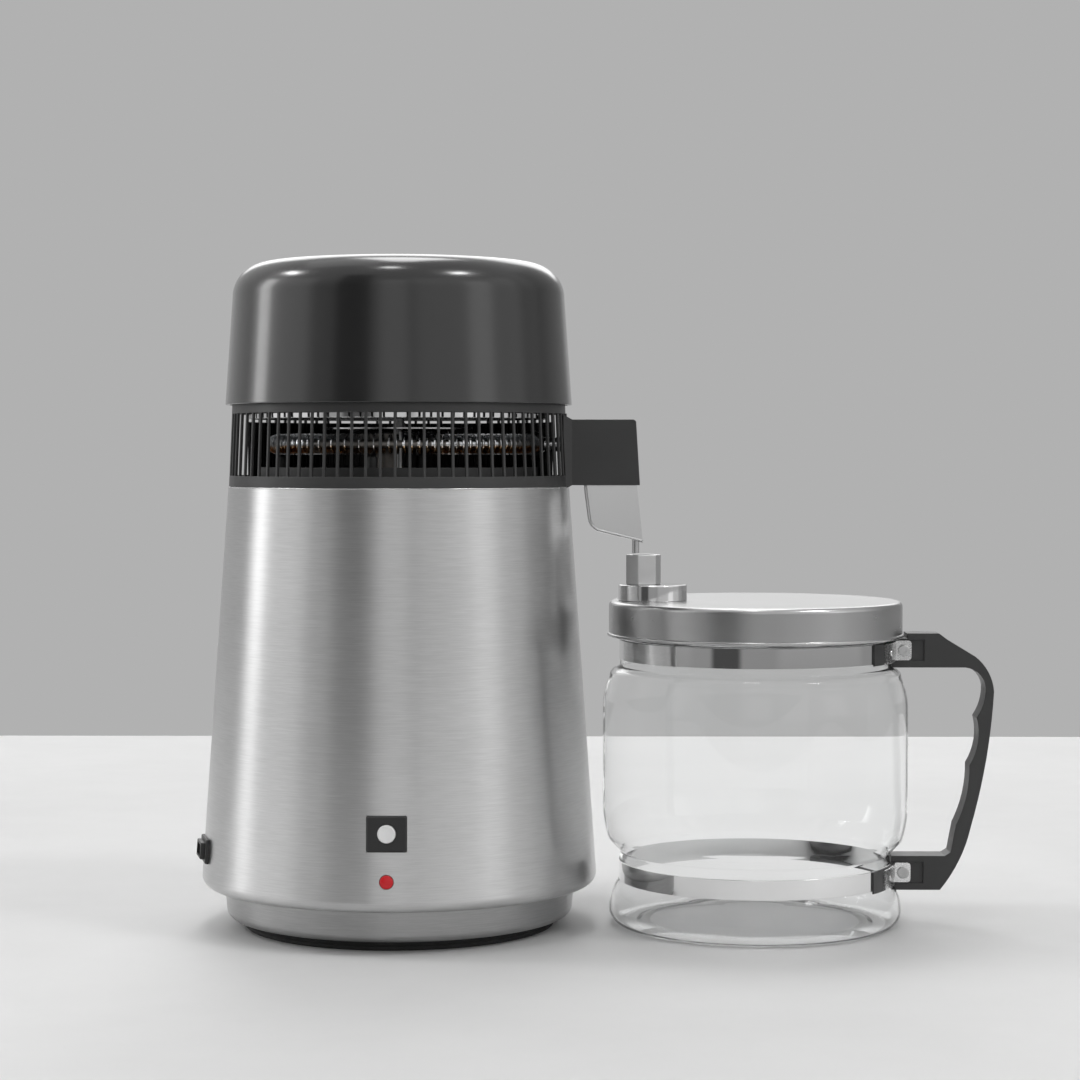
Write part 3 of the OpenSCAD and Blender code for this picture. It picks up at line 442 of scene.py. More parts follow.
def ceramic_body():
    """Off-white fired ceramic with specks."""
    look = Finish("ceramic", Coat_Weight=0.2)
    specks = look.add("TexVoronoi", {"Vector": look.place, "Scale": 900.0}).outputs["Distance"]
    look.link(look.tint(specks, (0.55, 0.52, 0.46), (0.8, 0.78, 0.73), 0.05, 0.3), "Base Color")
    look.link(look.between(look.noise(160.0), 0.35, 0.55), "Roughness")
    look.link(look.bump(look.noise(1200.0), 0.2, 0.05), "Normal")
    return look.material


gloss_charcoal = moulded_plastic(
    "gloss_charcoal", grey(0.01), grey(0.013), (0.22, 0.26), grain_depth=0.01,
    Coat_Weight=0.8, Coat_Roughness=0.14
)
satin_charcoal = moulded_plastic("satin_charcoal", grey(0.035), grey(0.043), (0.36, 0.46))
black_plastic = moulded_plastic("black_plastic", grey(0.012), grey(0.02), (0.34, 0.46), 1800.0)
black_rubber = moulded_plastic("black_rubber", grey(0.008), grey(0.014), (0.62, 0.8), 900.0, 0.25)
silicone = moulded_plastic(
    "silicone", (0.72, 0.72, 0.7), (0.8, 0.8, 0.78), (0.4, 0.55), 1400.0, Subsurface_Weight=0.1
)
white_plastic = moulded_plastic("white_button", grey(0.78), grey(0.84), (0.3, 0.4), Coat_Weight=0.2)
red_plastic = moulded_plastic(
    "red_button", (0.56, 0.002, 0.008), (0.66, 0.003, 0.012), (0.3, 0.38), Coat_Weight=0.1
)
shell_steel = brushed_steel("shell_steel", grey(0.55), grey(0.63), (0.3, 0.36))
# Painted shade: the base ring's steel is the shell's brushed steel made darker, standing for the shaded
# counter that it reflects near the floor
ring_steel_painted_shade = brushed_steel("base_ring_steel", grey(0.36), grey(0.44), (0.28, 0.36))
lid_steel = bare_metal("lid_steel", grey(0.5), grey(0.54), (0.27, 0.274), 20.0, 0.004)
post_steel = bare_metal("post_steel", grey(0.7), grey(0.78), (0.3, 0.36))
tank_steel = brushed_steel("tank_steel", grey(0.6), grey(0.74), (0.22, 0.32), 50.0, 1500.0, 0.5)
polished = bare_metal("polished", grey(0.78), grey(0.86), (0.03, 0.07), 30.0, 0.02)
nozzle_steel = bare_metal("nozzle_steel", grey(0.82), grey(0.86), (0.22, 0.24), 20.0, 0.005)
bright_steel = bare_metal("bright_steel", grey(0.64), grey(0.76), (0.1, 0.2))
plain_steel = bare_metal("plain_steel", grey(0.5), grey(0.62), (0.28, 0.42), 90.0, 0.12)
tab_steel = bare_metal("tab_steel", grey(0.72), grey(0.84), (0.2, 0.34), 160.0, 0.1)
brass = bare_metal("terminal_brass", (0.72, 0.5, 0.2), (0.84, 0.62, 0.28), (0.2, 0.34))
cast_aluminium = bare_metal("cast_aluminium", grey(0.5), grey(0.62), (0.45, 0.6), 200.0, 0.4)
fan_aluminium = bare_metal("fan_aluminium", grey(0.7), grey(0.8), (0.25, 0.38))
# Dark metal of the heating element; on the condenser tube it is painted shade, darkening the gaps between
# the fins
element_metal_and_gap_shade = bare_metal("element_metal_and_gap_shade", (0.2, 0.19, 0.18), (0.32, 0.3, 0.28), (0.4, 0.6), 150.0, 0.2)
coil_fins = finned_metal()
glass = clear_glass()
filter_cloth = woven_cloth()
ceramic = ceramic_body()
red_jacket = moulded_plastic("red_wire_jacket", (0.5, 0.03, 0.02), (0.62, 0.05, 0.03), (0.4, 0.5))
blue_jacket = moulded_plastic("blue_wire_jacket", (0.03, 0.04, 0.3), (0.04, 0.06, 0.4), (0.4, 0.5))


# Boiler

SHELL_TOP = 255.6
SHELL_TOP_R = 99.4
TAPER = 4.0422


def shell_radius(z):
    return SHELL_TOP_R + (SHELL_TOP - z) * math.tan(math.radians(TAPER))


def on_wall(z, azimuth):
    """Matrix that sets a piece on the shell's wall: local Z outwards, local Y up the wall."""
    return (
        Matrix.Rotation(math.radians(azimuth), 4, "Z")
        @ move(shell_radius(z), 0, z)
        @ Matrix.Rotation(math.radians(90 - TAPER), 4, "Y")
        @ Matrix.Rotation(math.radians(90), 4, "Z")
    )


FRONT_BUTTON = on_wall(68.3, -90)
RESET_BUTTON = on_wall(42.2, -90)
POWER_INLET = on_wall(47, 194)
FAN_OUTLET = on_wall(52, 90)


def make_foot():
    outline = rounded(
        (82, 0, 0.8), (90.5, 0, 0.9), (90.5, 2.2, 0.3), (90, 2.7, 0.3), (90.5, 3.2, 0.3), (90.5, 6), (82, 6)
    )
    done(turned("rubber_foot", outline), "boiler", black_rubber, "foot_ring", slot="black_rubber")


def make_base_ring():
    outline = rounded(
        (75, 6), (100.6, 6, 5), (102.4, 24.6), (101.5, 24.6), (101.5, 25.6), (105.5, 25.6), (105.5, 26.6),
        (100.3, 26.6), (99.4, 7.2, 3.8), (75, 7.2)
    )
    ring = turned("pressed_base_ring", outline, steps=192)
    # The darker steel here is painted shade
    done(ring, "boiler", ring_steel_painted_shade, "base_ring", slot="shell_steel")


def make_shell():
    outline = rounded(
        (101.5, 24.6), (115.74, 24.6, 6), (SHELL_TOP_R, SHELL_TOP), (SHELL_TOP_R - 1, SHELL_TOP),
        (114.67, 25.6, 5), (101.5, 25.6)
    )
    shell = turned("brushed_shell", outline, steps=256)
    cut(
        shell,
        placed(brick("plate_hole", (22.5, 20, 12)), FRONT_BUTTON),
        placed(drum("reset_hole", 4.05, -6, 6), RESET_BUTTON),
        placed(brick("inlet_hole", (19, 9.6, 12)), POWER_INLET),
        placed(drum("outlet_hole", 6.5, -6, 6), FAN_OUTLET),
    )
    done(shell, "boiler", shell_steel, "outer_shell", slot="shell_steel")


def make_tank():
    outline = rounded(
        (0, 61.2), (88.8, 61.2, 8), (88.8, 255.6), (99.7, 255.6, 0.25), (99.7, 256.4, 0.35),
        (88, 256.4, 0.35), (88, 62, 7.2), (0, 62), closed=False
    )
    done(turned("drawn_tank", outline, steps=160), "boiler", tank_steel, "inner_tank", slot="bright_steel")


def make_controls():
    plate = brick("button_plate", (22.5, 20, 3.9), (0, 0, -1.05))
    soften(plate, 0.9, 1)
    cut(plate, drum("button_hole", 5.3, -4, 4))
    soften(plate, 0.15, 2)
    done(placed(plate, FRONT_BUTTON), "boiler", black_plastic, "control_plate", slot="black_plastic")

    outline = rounded(
        (0, -7), (5, -7, 0.3), (5, 1.9, 0.6), (4.2, 1.9, 0.3), (3.6, 1.75, 0.5), (0, 1.7), closed=False
    )
    power = placed(turned("white_push_button", outline, steps=64), FRONT_BUTTON)
    done(power, "power_button", white_plastic, "power_button", slot="white_button")

    dome = [(3.7 * math.cos(math.radians(a)), 0.9 + math.sin(math.radians(a))) for a in range(0, 91, 9)]
    reset = placed(turned("red_push_button", [(0, -6), (3.7, -6)] + dome, steps=64), RESET_BUTTON)
    done(reset, "reset_button", red_plastic, "reset_button", slot="red_button")


def make_inlet():
    flange = soften(brick("inlet_flange", (26, 14, 3.4), (0, 0, -0.3)), 0.8, 3)
    body = soften(brick("inlet_body", (19, 9.6, 18), (0, 0, -5)), 0.6, 2)
    cavity = soften(brick("inlet_cavity", (15.4, 6.6, 16), (0, 0, -2)), 0.9, 2)
    cut(body, cavity)
    inlet = placed(joined("power_socket", flange, body), POWER_INLET)
    done(inlet, "boiler", black_plastic, "power_inlet", slot="black_plastic")

    pins = []
    for side in (-4.6, 4.6):
        outline = rounded((0, -17), (1.2, -17), (1.2, 1, 0.7), (0, 1), closed=False)
        pin = turned("socket_pin", outline, steps=24)
        pins.append(placed(pin, POWER_INLET @ move(side, 0, 0)))
    done(joined("socket_pins", *pins), "boiler", brass, "inlet_pins", slot="terminal_brass")


def round_socket(name, place):
    """Round two-pole socket with a stepped flange."""
    outline = rounded(
        (0, -11), (6.5, -11, 0.4), (6.5, 0.2), (8, 0.2), (8, 2.4, 0.7), (5.6, 2.4, 0.3), (5, 1.8),
        (5, -9), (0, -9), closed=False
    )
    shell = turned(name, outline, steps=64)
    stud = rounded((0, -10), (0.9, -10), (0.9, -2, 0.5), (0, -2), closed=False)
    studs = [turned("stud", stud, x=side, steps=16) for side in (-2.2, 2.2)]
    return placed(joined(name, shell, *studs), place)


def make_fan_outlet():
    outlet = round_socket("fan_lead_outlet", FAN_OUTLET)
    done(outlet, "boiler", black_plastic, "fan_outlet", slot="black_plastic")


make_foot()
make_base_ring()
make_shell()
make_tank()
make_controls()
make_inlet()
make_fan_outlet()


# Head

DECK = 256.4
CAGE_TOP = 303.9
CAGE_DRAFT = 2.1
SLAT_COUNT = 76
SLAT_MIDDLE = 280.5
COIL_Z = 280.8
ALONG_X = Matrix.Rotation(math.radians(90), 4, "Y")


def cage_radius(z):
    return 99.1 - (z - DECK) * CAGE_DRAFT / (CAGE_TOP - DECK)


def make_cage():
    low = turned(
        "cage_low_band",
        rounded(
            (99.1, 256.4, 0.35), (cage_radius(262.7), 262.7, 0.4), (96, 262.7), (96, 259), (81.2, 259),
            (81.2, 267.6, 0.4), (79.2, 267.6, 0.4), (79.2, 259), (74, 259, 0.4), (74, 256.4)
        ),
        steps=192,
    )
    high = turned(
        "cage_high_band",
        rounded(
            (cage_radius(298.4), 298.4, 0.4), (97, 303.9, 0.35), (96.6, 303.9), (96.6, 312, 0.4),
            (94.2, 312, 0.4), (94.2, 303.9), (84, 303.9, 0.4), (84, 301, 0.4), (94.1, 301),
            (94.2, 298.4, 0.4)
        ),
        steps=192,
    )
    slat = soften(brick("slat", (1.6, 1.6, 37.4)), 0.4, 3)
    lean = math.atan2(CAGE_DRAFT, CAGE_TOP - DECK)
    placed(slat, move(cage_radius(SLAT_MIDDLE) - 0.9, 0, SLAT_MIDDLE) @ Matrix.Rotation(-lean, 4, "Y"))
    slats = [twin(slat, spun((i + 0.5) * 360 / SLAT_COUNT)) for i in range(SLAT_COUNT)]
    bpy.data.objects.remove(slat)
    port = soften(brick("port_wall", (2.8, 18, 36.4), (96.6, 0, SLAT_MIDDLE)), 0.3)
    cut(port, placed(drum("port_bore", 4.2, 80, 110), move(0, 0, COIL_Z) @ ALONG_X))
    cage = joined("vented_ring", low, high, port, *slats)
    done(cage, "head", satin_charcoal, "vent_cage", slot="satin_charcoal")


def make_cover():
    crown = [(76.6 * (1 - i / 12), 386 + 4 * (1 - (1 - i / 12) ** 2)) for i in range(1, 13)]
    under = [(r, z - 2.5) for r, z in reversed(crown)]
    outer = arc(76.6, 366, 20, 0, 90, 18)
    inner = arc(76.6, 366, 17.5, 90, 0, 12)
    rim = rounded((98.5, 303.6), (101, 303.6, 0.5), (96.6, 366), closed=False)[:-1]
    outline = [(0, 387.5)] + under[1:] + inner + rim + outer + crown
    shell = turned("domed_cover", outline, steps=192)
    bosses = [placed(drum("cover_boss", 4.6, 304, 328, 91), spun(azimuth)) for azimuth in (30, 150, 270)]
    done(joined("domed_cover", shell, *bosses), "head", gloss_charcoal, "top_cover", slot="gloss_charcoal")


def make_fan_inlet():
    place = move(0, 99.6, 322) @ Matrix.Rotation(math.radians(-90), 4, "X")
    done(round_socket("fan_lead_inlet", place), "head", black_plastic, "fan_inlet", slot="black_plastic")


def make_spout_box():
    outline = rounded((97, 257.1), (140.4, 257.1, 0.5), (138.1, 295.2, 2), (97, 295.2))
    box = slab("spout_box_shell", outline, -16, 16)
    cut(
        box,
        brick("box_hollow", (60, 27.2, 40), (134, 0, 272.8)),
        brick("box_rails", (60, 29.2, 2.8), (134, 0, 271)),
    )
    soften(box, 1.2, 4)
    flare = brick("box_root", (5, 32, 38.1), (98.6, 0, 276.15))
    edit(flare)
    choose("FACE", lambda m: m.x < 97)
    stretch(1, 1.12, 1.14, (96, 0, 276.1))
    bpy.ops.object.mode_set(mode="OBJECT")
    room = [(0, 230), (cage_radius(230), 230), (cage_radius(320), 320), (0, 320)]
    for part in (box, flare):
        cut(part, turned("cage_room", room, steps=192))
    done(joined("spout_housing", box, flare), "head", satin_charcoal, "spout_box", slot="satin_charcoal")


# The coil's outer radius, its pitch and its turns, then its fins and its tube
COIL_R = 78
COIL_PITCH = 16
COIL_TURNS = 2.2
FIN_COUNT = 210
FIN_R = 5.9
TUBE_R = 2.2
PATH_POINTS = 120
COIL_LENGTH = math.pi * COIL_TURNS * (2 * COIL_R - COIL_PITCH * COIL_TURNS)


def coil_point(length):
    """Place on the flat spiral at a length from its outer end."""
    turn = (COIL_R - math.sqrt(COIL_R * COIL_R - COIL_PITCH * length / math.pi)) / COIL_PITCH
    radius = COIL_R - COIL_PITCH * turn
    angle = math.radians(-8 - 360 * turn)
    return Vector((radius * math.cos(angle), radius * math.sin(angle), COIL_Z))


def make_coil():
    fin = drum("fin", FIN_R, -0.25, 0.25, sides=24)
    edit(fin)
    choose("FACE", lambda m: m.z > 0.1)
    bpy.ops.mesh.inset(thickness=3 * MM)
    bpy.ops.mesh.extrude_region_move(TRANSFORM_OT_translate={"value": (0, 0, 0.9 * MM)})
    bpy.ops.object.mode_set(mode="OBJECT")
    fins = []
    for i in range(FIN_COUNT):
        here = coil_point(COIL_LENGTH * (i + 0.5) / FIN_COUNT)
        ahead = coil_point(COIL_LENGTH * (i + 1) / FIN_COUNT)
        facing = (ahead - here).to_track_quat("Z", "Y").to_matrix().to_4x4()
        fins.append(twin(fin, move(*here) @ facing))
    bpy.data.objects.remove(fin)
    done(joined("condenser_fins", *fins), "head", coil_fins, slot="coil_fins", smooth=25)

    clear()
    bpy.ops.curve.primitive_nurbs_path_add()
    path = bpy.context.object
    spline = path.data.splines[0]
    spline.points.add(PATH_POINTS - len(spline.points))
    for i, point in enumerate(spline.points):
        point.co = (*(coil_point(COIL_LENGTH * i / (PATH_POINTS - 1)) * MM), 1)
    spline.use_endpoint_u = True
    spline.resolution_u = 2
    path.data.bevel_depth = TUBE_R * MM
    path.data.bevel_resolution = 4
    path.data.use_fill_caps = True
    bpy.ops.object.convert(target="MESH")
    tube = begin("condenser_tube")
    close_up(tube)
    # The tube takes the dark element metal as painted shade, so the gaps between the fins read dark
    done(tube, "head", element_metal_and_gap_shade, "condenser_coil", slot="coil_fins")


RIB_COUNT = 77
RIB_STEP = 2.2


def make_air_guard():
    outline = rounded((88.8, 259), (90, 259), (90, 294, 0.3), (88.8, 294, 0.3))
    wall = turned("guard_wall", outline, steps=96, sweep=170)
    rib = soften(brick("guard_rib", (1.2, 1.3, 34), (88.4, 0, 276.5)), 0.3)
    ribs = [twin(rib, spun(-84 + RIB_STEP * i)) for i in range(RIB_COUNT)]
    bpy.data.objects.remove(rib)
    guard = placed(joined("ribbed_air_guard", wall, *ribs), spun(90))
    done(guard, "head", black_plastic, "air_guard", slot="black_plastic")


def make_head_rings():
    outline = rounded((86, 295.4, 0.4), (87.2, 295.4, 0.4), (87.2, 301), (86, 301))
    done(turned("fan_shroud_ring", outline, steps=160), "head", polished, "fan_shroud", slot="polished")

    outline = rounded((0, 259), (79.2, 259), (79.2, 260.2, 0.3), (0, 260.2), closed=False)
    plate = turned("steam_cover_plate", outline)
    cut(plate, drum("riser_hole", 4.5, 250, 270, -4.4, -43.9), drum("bolt_hole", 2, 250, 270, sides=32))
    done(plate, "head", bright_steel, "steam_plate", slot="bright_steel")

    outline = rounded(
        (84, 251.4, 0.5), (87.7, 251.4, 1.2), (87.7, 253.2, 0.3), (87.1, 253.6, 0.3), (87.7, 254, 0.3),
        (87.7, 256.4), (84, 256.4)
    )
    done(turned("tank_seal", outline), "head", silicone, "head_seal", slot="silicone")

    outline = rounded(
        (2, 288), (30, 288), (33, 289.4), (43, 289.4, 0.3), (43, 290.6, 0.3), (33, 290.6), (30, 289.2),
        (2, 289.2)
    )
    clamp = turned("coil_hold_down", outline, steps=96)
    done(clamp, "head", bright_steel, "coil_clamp", slot="bright_steel")


make_cage()
make_cover()
make_fan_inlet()
make_spout_box()
make_coil()
make_air_guard()
make_head_rings()


# Nozzle

MOUTH = (142.2, 223.7)
MOUTH_SLOPE = 3.5 / 32.6


def mouth_x(z):
    return MOUTH[0] - (z - MOUTH[1]) * MOUTH_SLOPE


def make_nozzle():
    """A scoop bent from sheet: flat cheeks, rounded back and floor, open at the mouth and on top."""
    outline = rounded(
        (107.9, 290), (107.9, 256, 60), (111.1, 231.4, 9), MOUTH, (mouth_x(290), 290), closed=False
    )
    scoop = slab("pressed_scoop", outline, -13, 13)
    edit(scoop)
    choose("EDGE", lambda m: abs(m.y) > 12.9 and m.z < 289 and m.x < mouth_x(m.z) - 1)
    bpy.ops.mesh.bevel(offset=2 * MM, segments=5)
    choose("FACE", lambda m: m.z > 289 or m.x > mouth_x(m.z) - 1)
    bpy.ops.mesh.delete(type="FACE")
    bpy.ops.object.mode_set(mode="OBJECT")
    modify(scoop, "SOLIDIFY", thickness=1.2 * MM, offset=-1, use_even_offset=True)
    cut(scoop, placed(drum("outlet_port", 4.7, -18, 8), move(108, 0, COIL_Z) @ ALONG_X))
    soften(scoop, 0.3, 2, 50)
    rails = [soften(brick("rail", (14, 1.2, 2), (127.9, side * 13.2, 271)), 0.3) for side in (-1, 1)]
    nozzle = joined("scoop_nozzle", scoop, *rails)
    done(nozzle, "nozzle", nozzle_steel, "spout_nozzle", slot="polished", smooth=40)

    outline = rounded((1.5, 217.2, 0.2), (2.1, 217.2, 0.2), (2.1, 226.6), (1.5, 226.6))
    tube = turned("drip_pipe", outline, x=138.3, steps=40)
    done(tube, "nozzle", bright_steel, "drip_tube", slot="bright_steel")

    outline = rounded(
        (0, 251), (11.7, 251, 2.5), (11.7, 262), (11.3, 262.6), (11.7, 263.2), (11.7, 274, 2.5), (0, 274),
        closed=False
    )
    sachet = turned("filter_sachet", outline, x=120.9, steps=64)
    done(sachet, "nozzle", filter_cloth, "charcoal_filter", slot="silicone")


make_nozzle()


# Jug

UPPER_TAB = 160.9
LOWER_TAB = 31


def glass_outline(inset):
    """Foot, waist, belly, shoulder and neck, from the bottom up."""
    half = inset / 2
    return (
        arc(76.4, 9, 9 - inset, -90, 0, 10)
        + arc(57.4, 9, 28 - inset, 6, 37.4, 8)
        + rounded((79.6 - inset, 26), (78.9 - inset, 27.5 + half, 1.5), (78.9 - inset, 42.9 - half, 2),
                  (80.4 - inset, 45.4 - half), closed=False)[1:-1]
        + arc(29.1, 70, 60 - inset, -19, 0, 10)
        + arc(41.1, 126, 48 - inset, 0, 24, 10)
        + arc(79.9, 145, 5.5 - half, 24, 78, 6)
        + [(78.9 - inset, 152 - half)]
    )


def make_glass():
    foot = rounded((64, 2), (66, 2, 1), (69, 0, 2), (76, 0), closed=False)[:-1]
    outer = [(0, 2)] + foot + glass_outline(0)
    bead = arc(78.9, 168.6, 1.5, -90, 90, 8)
    rim = arc(77.4, 184.5, 1.5, 0, 180, 10)
    inner = [(77.7, 181)] + list(reversed(glass_outline(1.2))) + [(66, 3.2), (0, 3.2)]
    jar = turned("blown_jar", outer + bead + rim + inner, x=JUG, steps=192)
    done(jar, "jug", glass, "jug_glass", slot="clear_glass", smooth=60)


def make_bands():
    bands = [("neck_band", "upper_band", 155.5, 167), ("waist_band", "lower_band", 26.3, 37.7)]
    for name, node, low, high in bands:
        outline = rounded((78.96, low), (79.6, low, 0.25), (79.6, high, 0.25), (78.96, high))
        done(turned(name, outline, x=JUG, steps=192), "jug", polished, node, slot="polished")


def make_handle():
    outer = (
        [(76, 20.8)]
        + bow((107.7, 20.8), (125.5, 57.7), 2.4, 8)
        + bow((125.5, 57.7), (138.6, 136.9), 2.2, 10)
        + bow((138.6, 136.9), (127.5, 157.4), 2.5, 8)
        + [(127.5, 157.4), (111.2, 167.3), (106.4, 170.9), (88, 170.9), (88, 167.8), (76, 167.8)]
    )
    inner = (
        [(76, 150.9)]
        + bow((119.4, 150.9), (133.6, 139.5), -3.7, 8)
        + bow((133.6, 139.5), (128.5, 121.7), -1.5, 6)
        + bow((128.5, 121.7), (124.4, 93.8), -2.9, 8)
        + bow((124.4, 93.8), (116.7, 58.8), -2.2, 8)
        + [(116.7, 58.8), (113.7, 42.9), (110.3, 40.8), (76, 40.8)]
    )
    grip = slab("grip", outer + inner, -9, 9)
    for z in (UPPER_TAB, LOWER_TAB):
        for side in (-1, 1):
            cut(grip, brick("pocket", (30, 3.4, 12.2), (82.8, side * 9.3, z)))
    soften(grip, 0.7, 2, 30)
    cut(grip, drum("jar_room", 79.6, 0, 200, sides=160), drum("belly_room", 89.4, 50, 150, sides=160))
    parts = [placed(grip, move(JUG, 0, 0))]
    for z in (UPPER_TAB, LOWER_TAB):
        outline = rounded((79.6, z - 6.2), (80.6, z - 6.2, 0.4), (80.6, z + 6.2, 0.4), (79.6, z + 6.2))
        parts.append(turned("saddle", outline, x=JUG, steps=40, sweep=74))
    done(joined("grip_handle", *parts), "jug", satin_charcoal, "handle", slot="satin_charcoal")


def make_tab():
    """Folded strap: one leg lies in the handle's pocket, the other is rolled round the saddle."""
    leg = brick("tab_leg", (11, 1.2, 11.6), (85, -8.2, 0))
    edit(leg)
    choose("EDGE", lambda m: m.x > 90 and abs(m.z) > 5)
    bpy.ops.mesh.bevel(offset=2 * MM, segments=5)
    bpy.ops.object.mode_set(mode="OBJECT")
    outline = rounded((80.7, -5.8), (81.9, -5.8, 0.2), (81.9, 5.8, 0.2), (80.7, 5.8))
    roll = turned("tab_roll", outline, steps=14, sweep=21.5)
    placed(roll, spun(-17.2))
    soften(leg, 0.25, 2)
    return joined("tab", leg, roll)


def make_tabs():
    tab = make_tab()
    tabs = []
    for z in (UPPER_TAB, LOWER_TAB):
        tabs.append(twin(tab, move(JUG, 0, z)))
        tabs.append(twin(tab, move(JUG, 0, z) @ Matrix.Diagonal((1, -1, 1, 1))))
        edit(tabs[-1])
        bpy.ops.mesh.flip_normals()
        bpy.ops.object.mode_set(mode="OBJECT")
    bpy.data.objects.remove(tab)
    done(joined("handle_tabs", *tabs), "jug", tab_steel, "band_tabs", slot="plain_steel")

    head = [(2 * math.cos(math.radians(a)), 0.8 * math.sin(math.radians(a))) for a in range(0, 91, 15)]
    rivet = turned("rivet", [(0, -0.3), (2, -0.3)] + head, steps=32)
    rivets = [
        twin(rivet, move(JUG, 0, z) @ spun(side * 21) @ move(81.9, 0, 0) @ ALONG_X)
        for z in (UPPER_TAB, LOWER_TAB) for side in (-1, 1)
    ]
    bpy.data.objects.remove(rivet)
    done(joined("tab_rivet_heads", *rivets), "jug", bright_steel, "tab_rivets", slot="bright_steel")


def make_handle_screws():
    outline = rounded((0, 3.6), (2, 3.6), (2, -18), (3.4, -18), (3.4, -19.6, 0.7), (0, -19.6), closed=False)
    screw = turned("screw", outline, steps=48)
    cut(screw, placed(drum("socket", 1.7, -0.9, 5, sides=6), move(0, 0, -23.9)))
    turn_in = Matrix.Rotation(math.radians(-90), 4, "X")
    screws = [twin(screw, move(JUG + 86, 9.2, z) @ turn_in) for z in (UPPER_TAB, LOWER_TAB)]
    bpy.data.objects.remove(screw)
    done(joined("handle_bolts", *screws), "jug", plain_steel, "handle_screws", slot="bright_steel")


make_glass()
make_bands()
make_handle()
make_tabs()
make_handle_screws()


# Lid

POST_X = 142.9
POST_TURN = 41
STEM_R = 6
DISC_X = 148.3


def make_lid():
    outline = (
        [(0, 188.8)]
        + rounded((0, 188.8), (84.8, 188.8, 2.2), (84.8, 170), closed=False)[1:-1]
        + [(84.8, 170.4)]
        + arc(85.5, 169.9, 1.1, 150, 430, 16)
        + rounded((85.6, 171), (85.6, 189.6, 3), (0, 189.6), closed=False)[:-1]
        + [(0, 189.6)]
    )
    lid = turned("pressed_lid", outline, x=JUG, steps=192)
    cut(lid, drum("stem_hole", STEM_R, 180, 200, POST_X))
    done(lid, "lid", lid_steel, "jug_lid", slot="shell_steel")

    outline = rounded(
        (73.6, 182, 0.6), (75.6, 182, 0.6), (75.6, 186), (82, 186, 0.4), (82, 188.8), (73.6, 188.8)
    )
    done(turned("lid_gasket", outline, x=JUG), "lid", silicone, "lid_seal", slot="silicone")


def make_lid_inlet():
    outline = rounded((0, 189.6), (20.2, 189.6, 0.4), (20.2, 199, 0.8), (0, 199), closed=False)
    disc = turned("chrome_disc", outline, x=DISC_X, steps=128)
    cut(disc, drum("disc_bore", STEM_R, 180, 210, POST_X))
    done(disc, "lid", polished, "inlet_disc", slot="polished")

    across_flats = 18.2
    hexagon = drum("hexagon", across_flats / 2 / math.cos(math.radians(30)), 199, 216.4, sides=6)
    placed(hexagon, move(POST_X, 0, 0) @ spun(POST_TURN))
    soften(hexagon, 0.45, 2)
    cut(hexagon, drum("wide_bore", 6.8, 204, 220, POST_X), drum("long_bore", 4.4, 170, 210, POST_X))
    outline = rounded((4.4, 183, 0.3), (STEM_R, 183, 0.4), (STEM_R, 199.4), (4.4, 199.4))
    stem = turned("stem", outline, x=POST_X, steps=48)
    post = soften(joined("hex_post", hexagon, stem), 0.2, 2, 60)
    done(post, "lid", post_steel, "inlet_post", slot="bright_steel")


make_lid()
make_lid_inlet()


# CAD nodes that keep their shape

KEPT = {
    plain_steel: [
        "base_screws", "heat_shield", "tie_bolts", "tie_nuts", "cover_screws", "clamp_bolt", "fan_bracket",
        "bracket_screws", "handle_nuts", "inlet_nut"
    ],
    element_metal_and_gap_shade: ["heating_element", "steam_riser"],
    bright_steel: ["outlet_elbow", "fan_shaft"],
    black_plastic: ["base_plate", "power_switch", "reset_cutout", "coil_stands"],
    cast_aluminium: ["heater_plate", "fan_motor"],
    fan_aluminium: ["fan_blades"],
    ceramic: ["thermostat"],
    red_jacket: ["base_wires"],
    blue_jacket: ["head_wires"],
}
for finish, names in KEPT.items():
    for name in names:
        for held in nodes[name].material_slots:
            held.material = finish


# Room, light and camera


def lamp(name, place, target, size, power):
    light = bpy.data.lights.new(name, "AREA")
    light.shape = "RECTANGLE"
    light.size, light.size_y = size
    light.energy = power
    holder = bpy.data.objects.new(name, light)
    bpy.context.scene.collection.objects.link(holder)
    holder.location = place
    holder.rotation_euler = (Vector(target) - Vector(place)).to_track_quat("-Z", "Y").to_euler()


def make_floor():
    clear()
    bpy.ops.mesh.primitive_plane_add(size=1, location=(0.1, 0.05, 0))
    floor = bpy.context.object
    floor.name = "studio_floor"
    floor.scale = (2.4, 1.9, 1)
    bpy.ops.object.transform_apply(location=True, rotation=True, scale=True)
    look = Finish("pale_floor", Specular_IOR_Level=0.2)
    veins = look.noise(3.0, 6.0, roughness=0.6)
    look.link(look.tint(veins, grey(0.64), grey(0.7)), "Base Color")
    look.link(look.between(look.noise(30.0), 0.6, 0.7), "Roughness")
    floor.data.materials.append(look.material)


# Soft panels round the object: the middle's azimuth, from -Y towards +X, and its half width, the middle's
# height and its half height, and the edges' softness, all in degrees, then the light that the panel adds
PANELS = [
    (-86, 27, 16, 17, 10, 0.5),
    (-101, 6, 15, 12, 5, 3.1),
    (0, 10, 15, 15, 8, 0.4),
    (55, 40, 16, 18, 10, 0.3),
    (61, 9, 14, 12, 8, 0.6),
    (-97, 7, 42, 3, 4, 20.0),
    (-10, 14, 74, 3, 4, 14.0),
    (60, 8, 51, 3, 4, 24.0),
    (180, 22, 27, 13, 5, 1.8),
    (180, 18, 67, 13, 8, 5.0),
]
# Dark cards, in the same way, then the share of the room's light that they leave
CARDS = [(-28, 12, 6, 40, 6, 0.25), (135, 22, 0, 40, 12, 0.6)]
# Light of the wall behind the object
WALL = 0.44


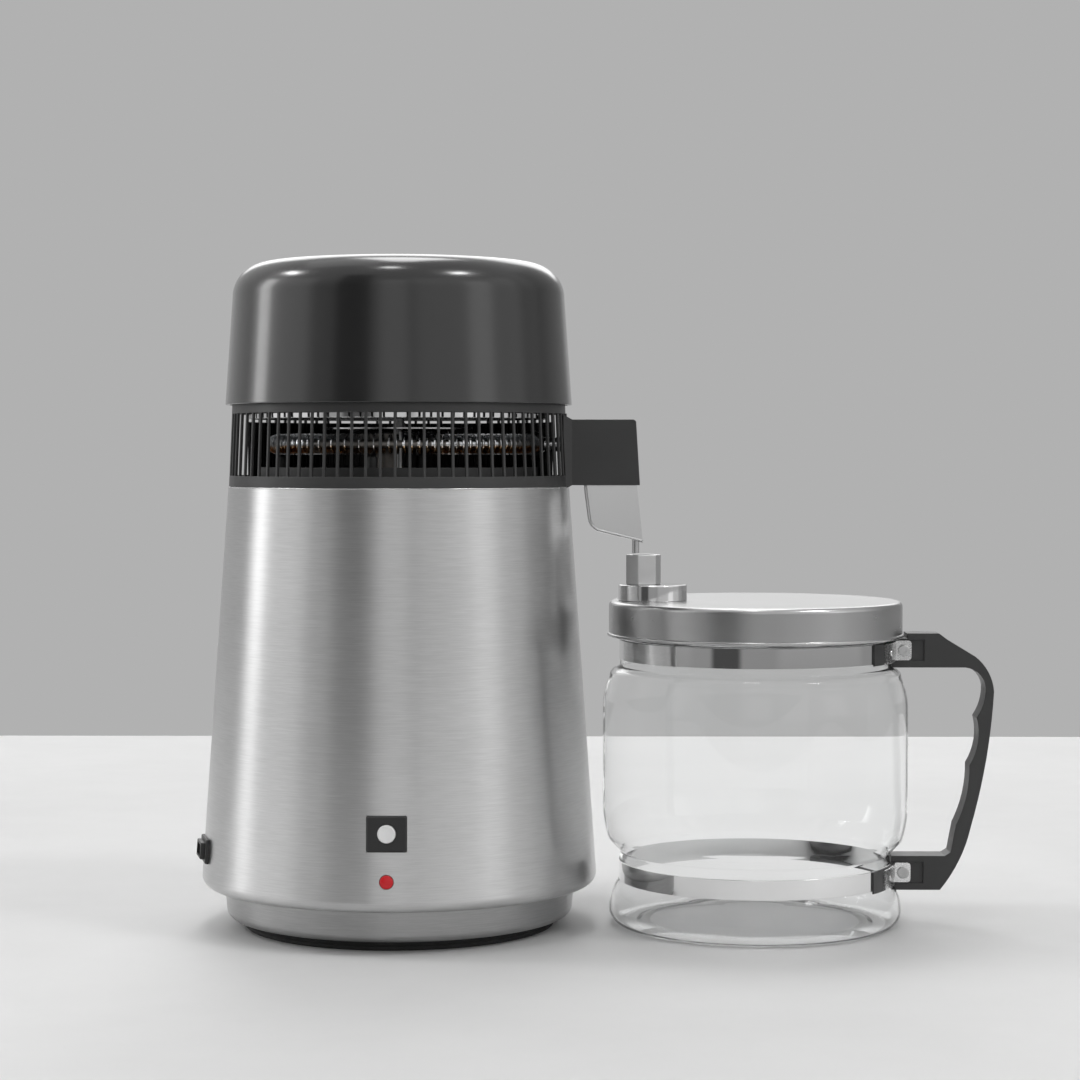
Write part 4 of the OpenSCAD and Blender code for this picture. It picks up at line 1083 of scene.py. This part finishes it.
def make_world():
    world = bpy.data.worlds.new("studio")
    bpy.context.scene.world = world
    world.use_nodes = True
    studio = Wiring(world.node_tree)
    way = studio.add("SeparateXYZ", {"Vector": studio.add("TexCoord").outputs["Generated"]}).outputs
    azimuth = studio.calc("ARCTAN2", way["X"], studio.calc("MULTIPLY", way["Y"], -1.0))
    height = studio.calc("ARCSINE", way["Z"])

    def field(azimuth_middle, azimuth_half, height_middle, height_half, edge):
        """1 within the panel and 0 outside, with soft edges. A panel at 180 degrees lies on both sides."""
        around = studio.calc("ABSOLUTE", azimuth) if azimuth_middle == 180 else azimuth
        spans = [(around, azimuth_middle, azimuth_half), (height, height_middle, height_half)]
        parts = []
        for value, middle, half in spans:
            away = studio.calc("ABSOLUTE", studio.calc("SUBTRACT", value, math.radians(middle)))
            start, end = math.radians(half - edge / 2), math.radians(half + edge / 2)
            parts.append(studio.between(away, 1.0, 0.0, start, end, soft=True))
        return studio.calc("MULTIPLY", *parts)

    far = studio.calc("ABSOLUTE", azimuth)
    wall = studio.between(far, 0.0, WALL, math.radians(95), math.radians(125), soft=True)
    light = studio.calc("MAXIMUM", studio.between(way["Z"], 0.24, 0.6, -0.15, 0.6), wall)
    for *place, share in CARDS:
        light = studio.calc("MULTIPLY", light, studio.between(field(*place), 1.0, share, 0.0, 1.0))
    for *place, gain in PANELS:
        light = studio.calc("ADD", light, studio.calc("MULTIPLY", field(*place), gain))
    studio.tree.links.new(light, studio.tree.nodes["Background"].inputs["Strength"])
    studio.tree.nodes["Background"].inputs["Color"].default_value = (1, 1, 1, 1)


def make_camera():
    view = bpy.data.cameras.new("photo_view")
    view.lens = 86.65
    view.sensor_width = 36
    holder = bpy.data.objects.new("photo_view", view)
    bpy.context.scene.collection.objects.link(holder)
    holder.location = (0.0996, -1.5213, 0.27622)
    tilt = math.radians(90 - 1.934)
    yaw = math.radians(0.65)
    holder.rotation_euler = (tilt, 0, yaw)
    bpy.context.scene.camera = holder


make_floor()
make_world()
make_camera()
lamp("top_light", (-0.5, 0.3, 1.9), (0.1, 0, 0.2), (0.9, 0.9), 1)
bpy.context.scene.view_settings.view_transform = "Standard"
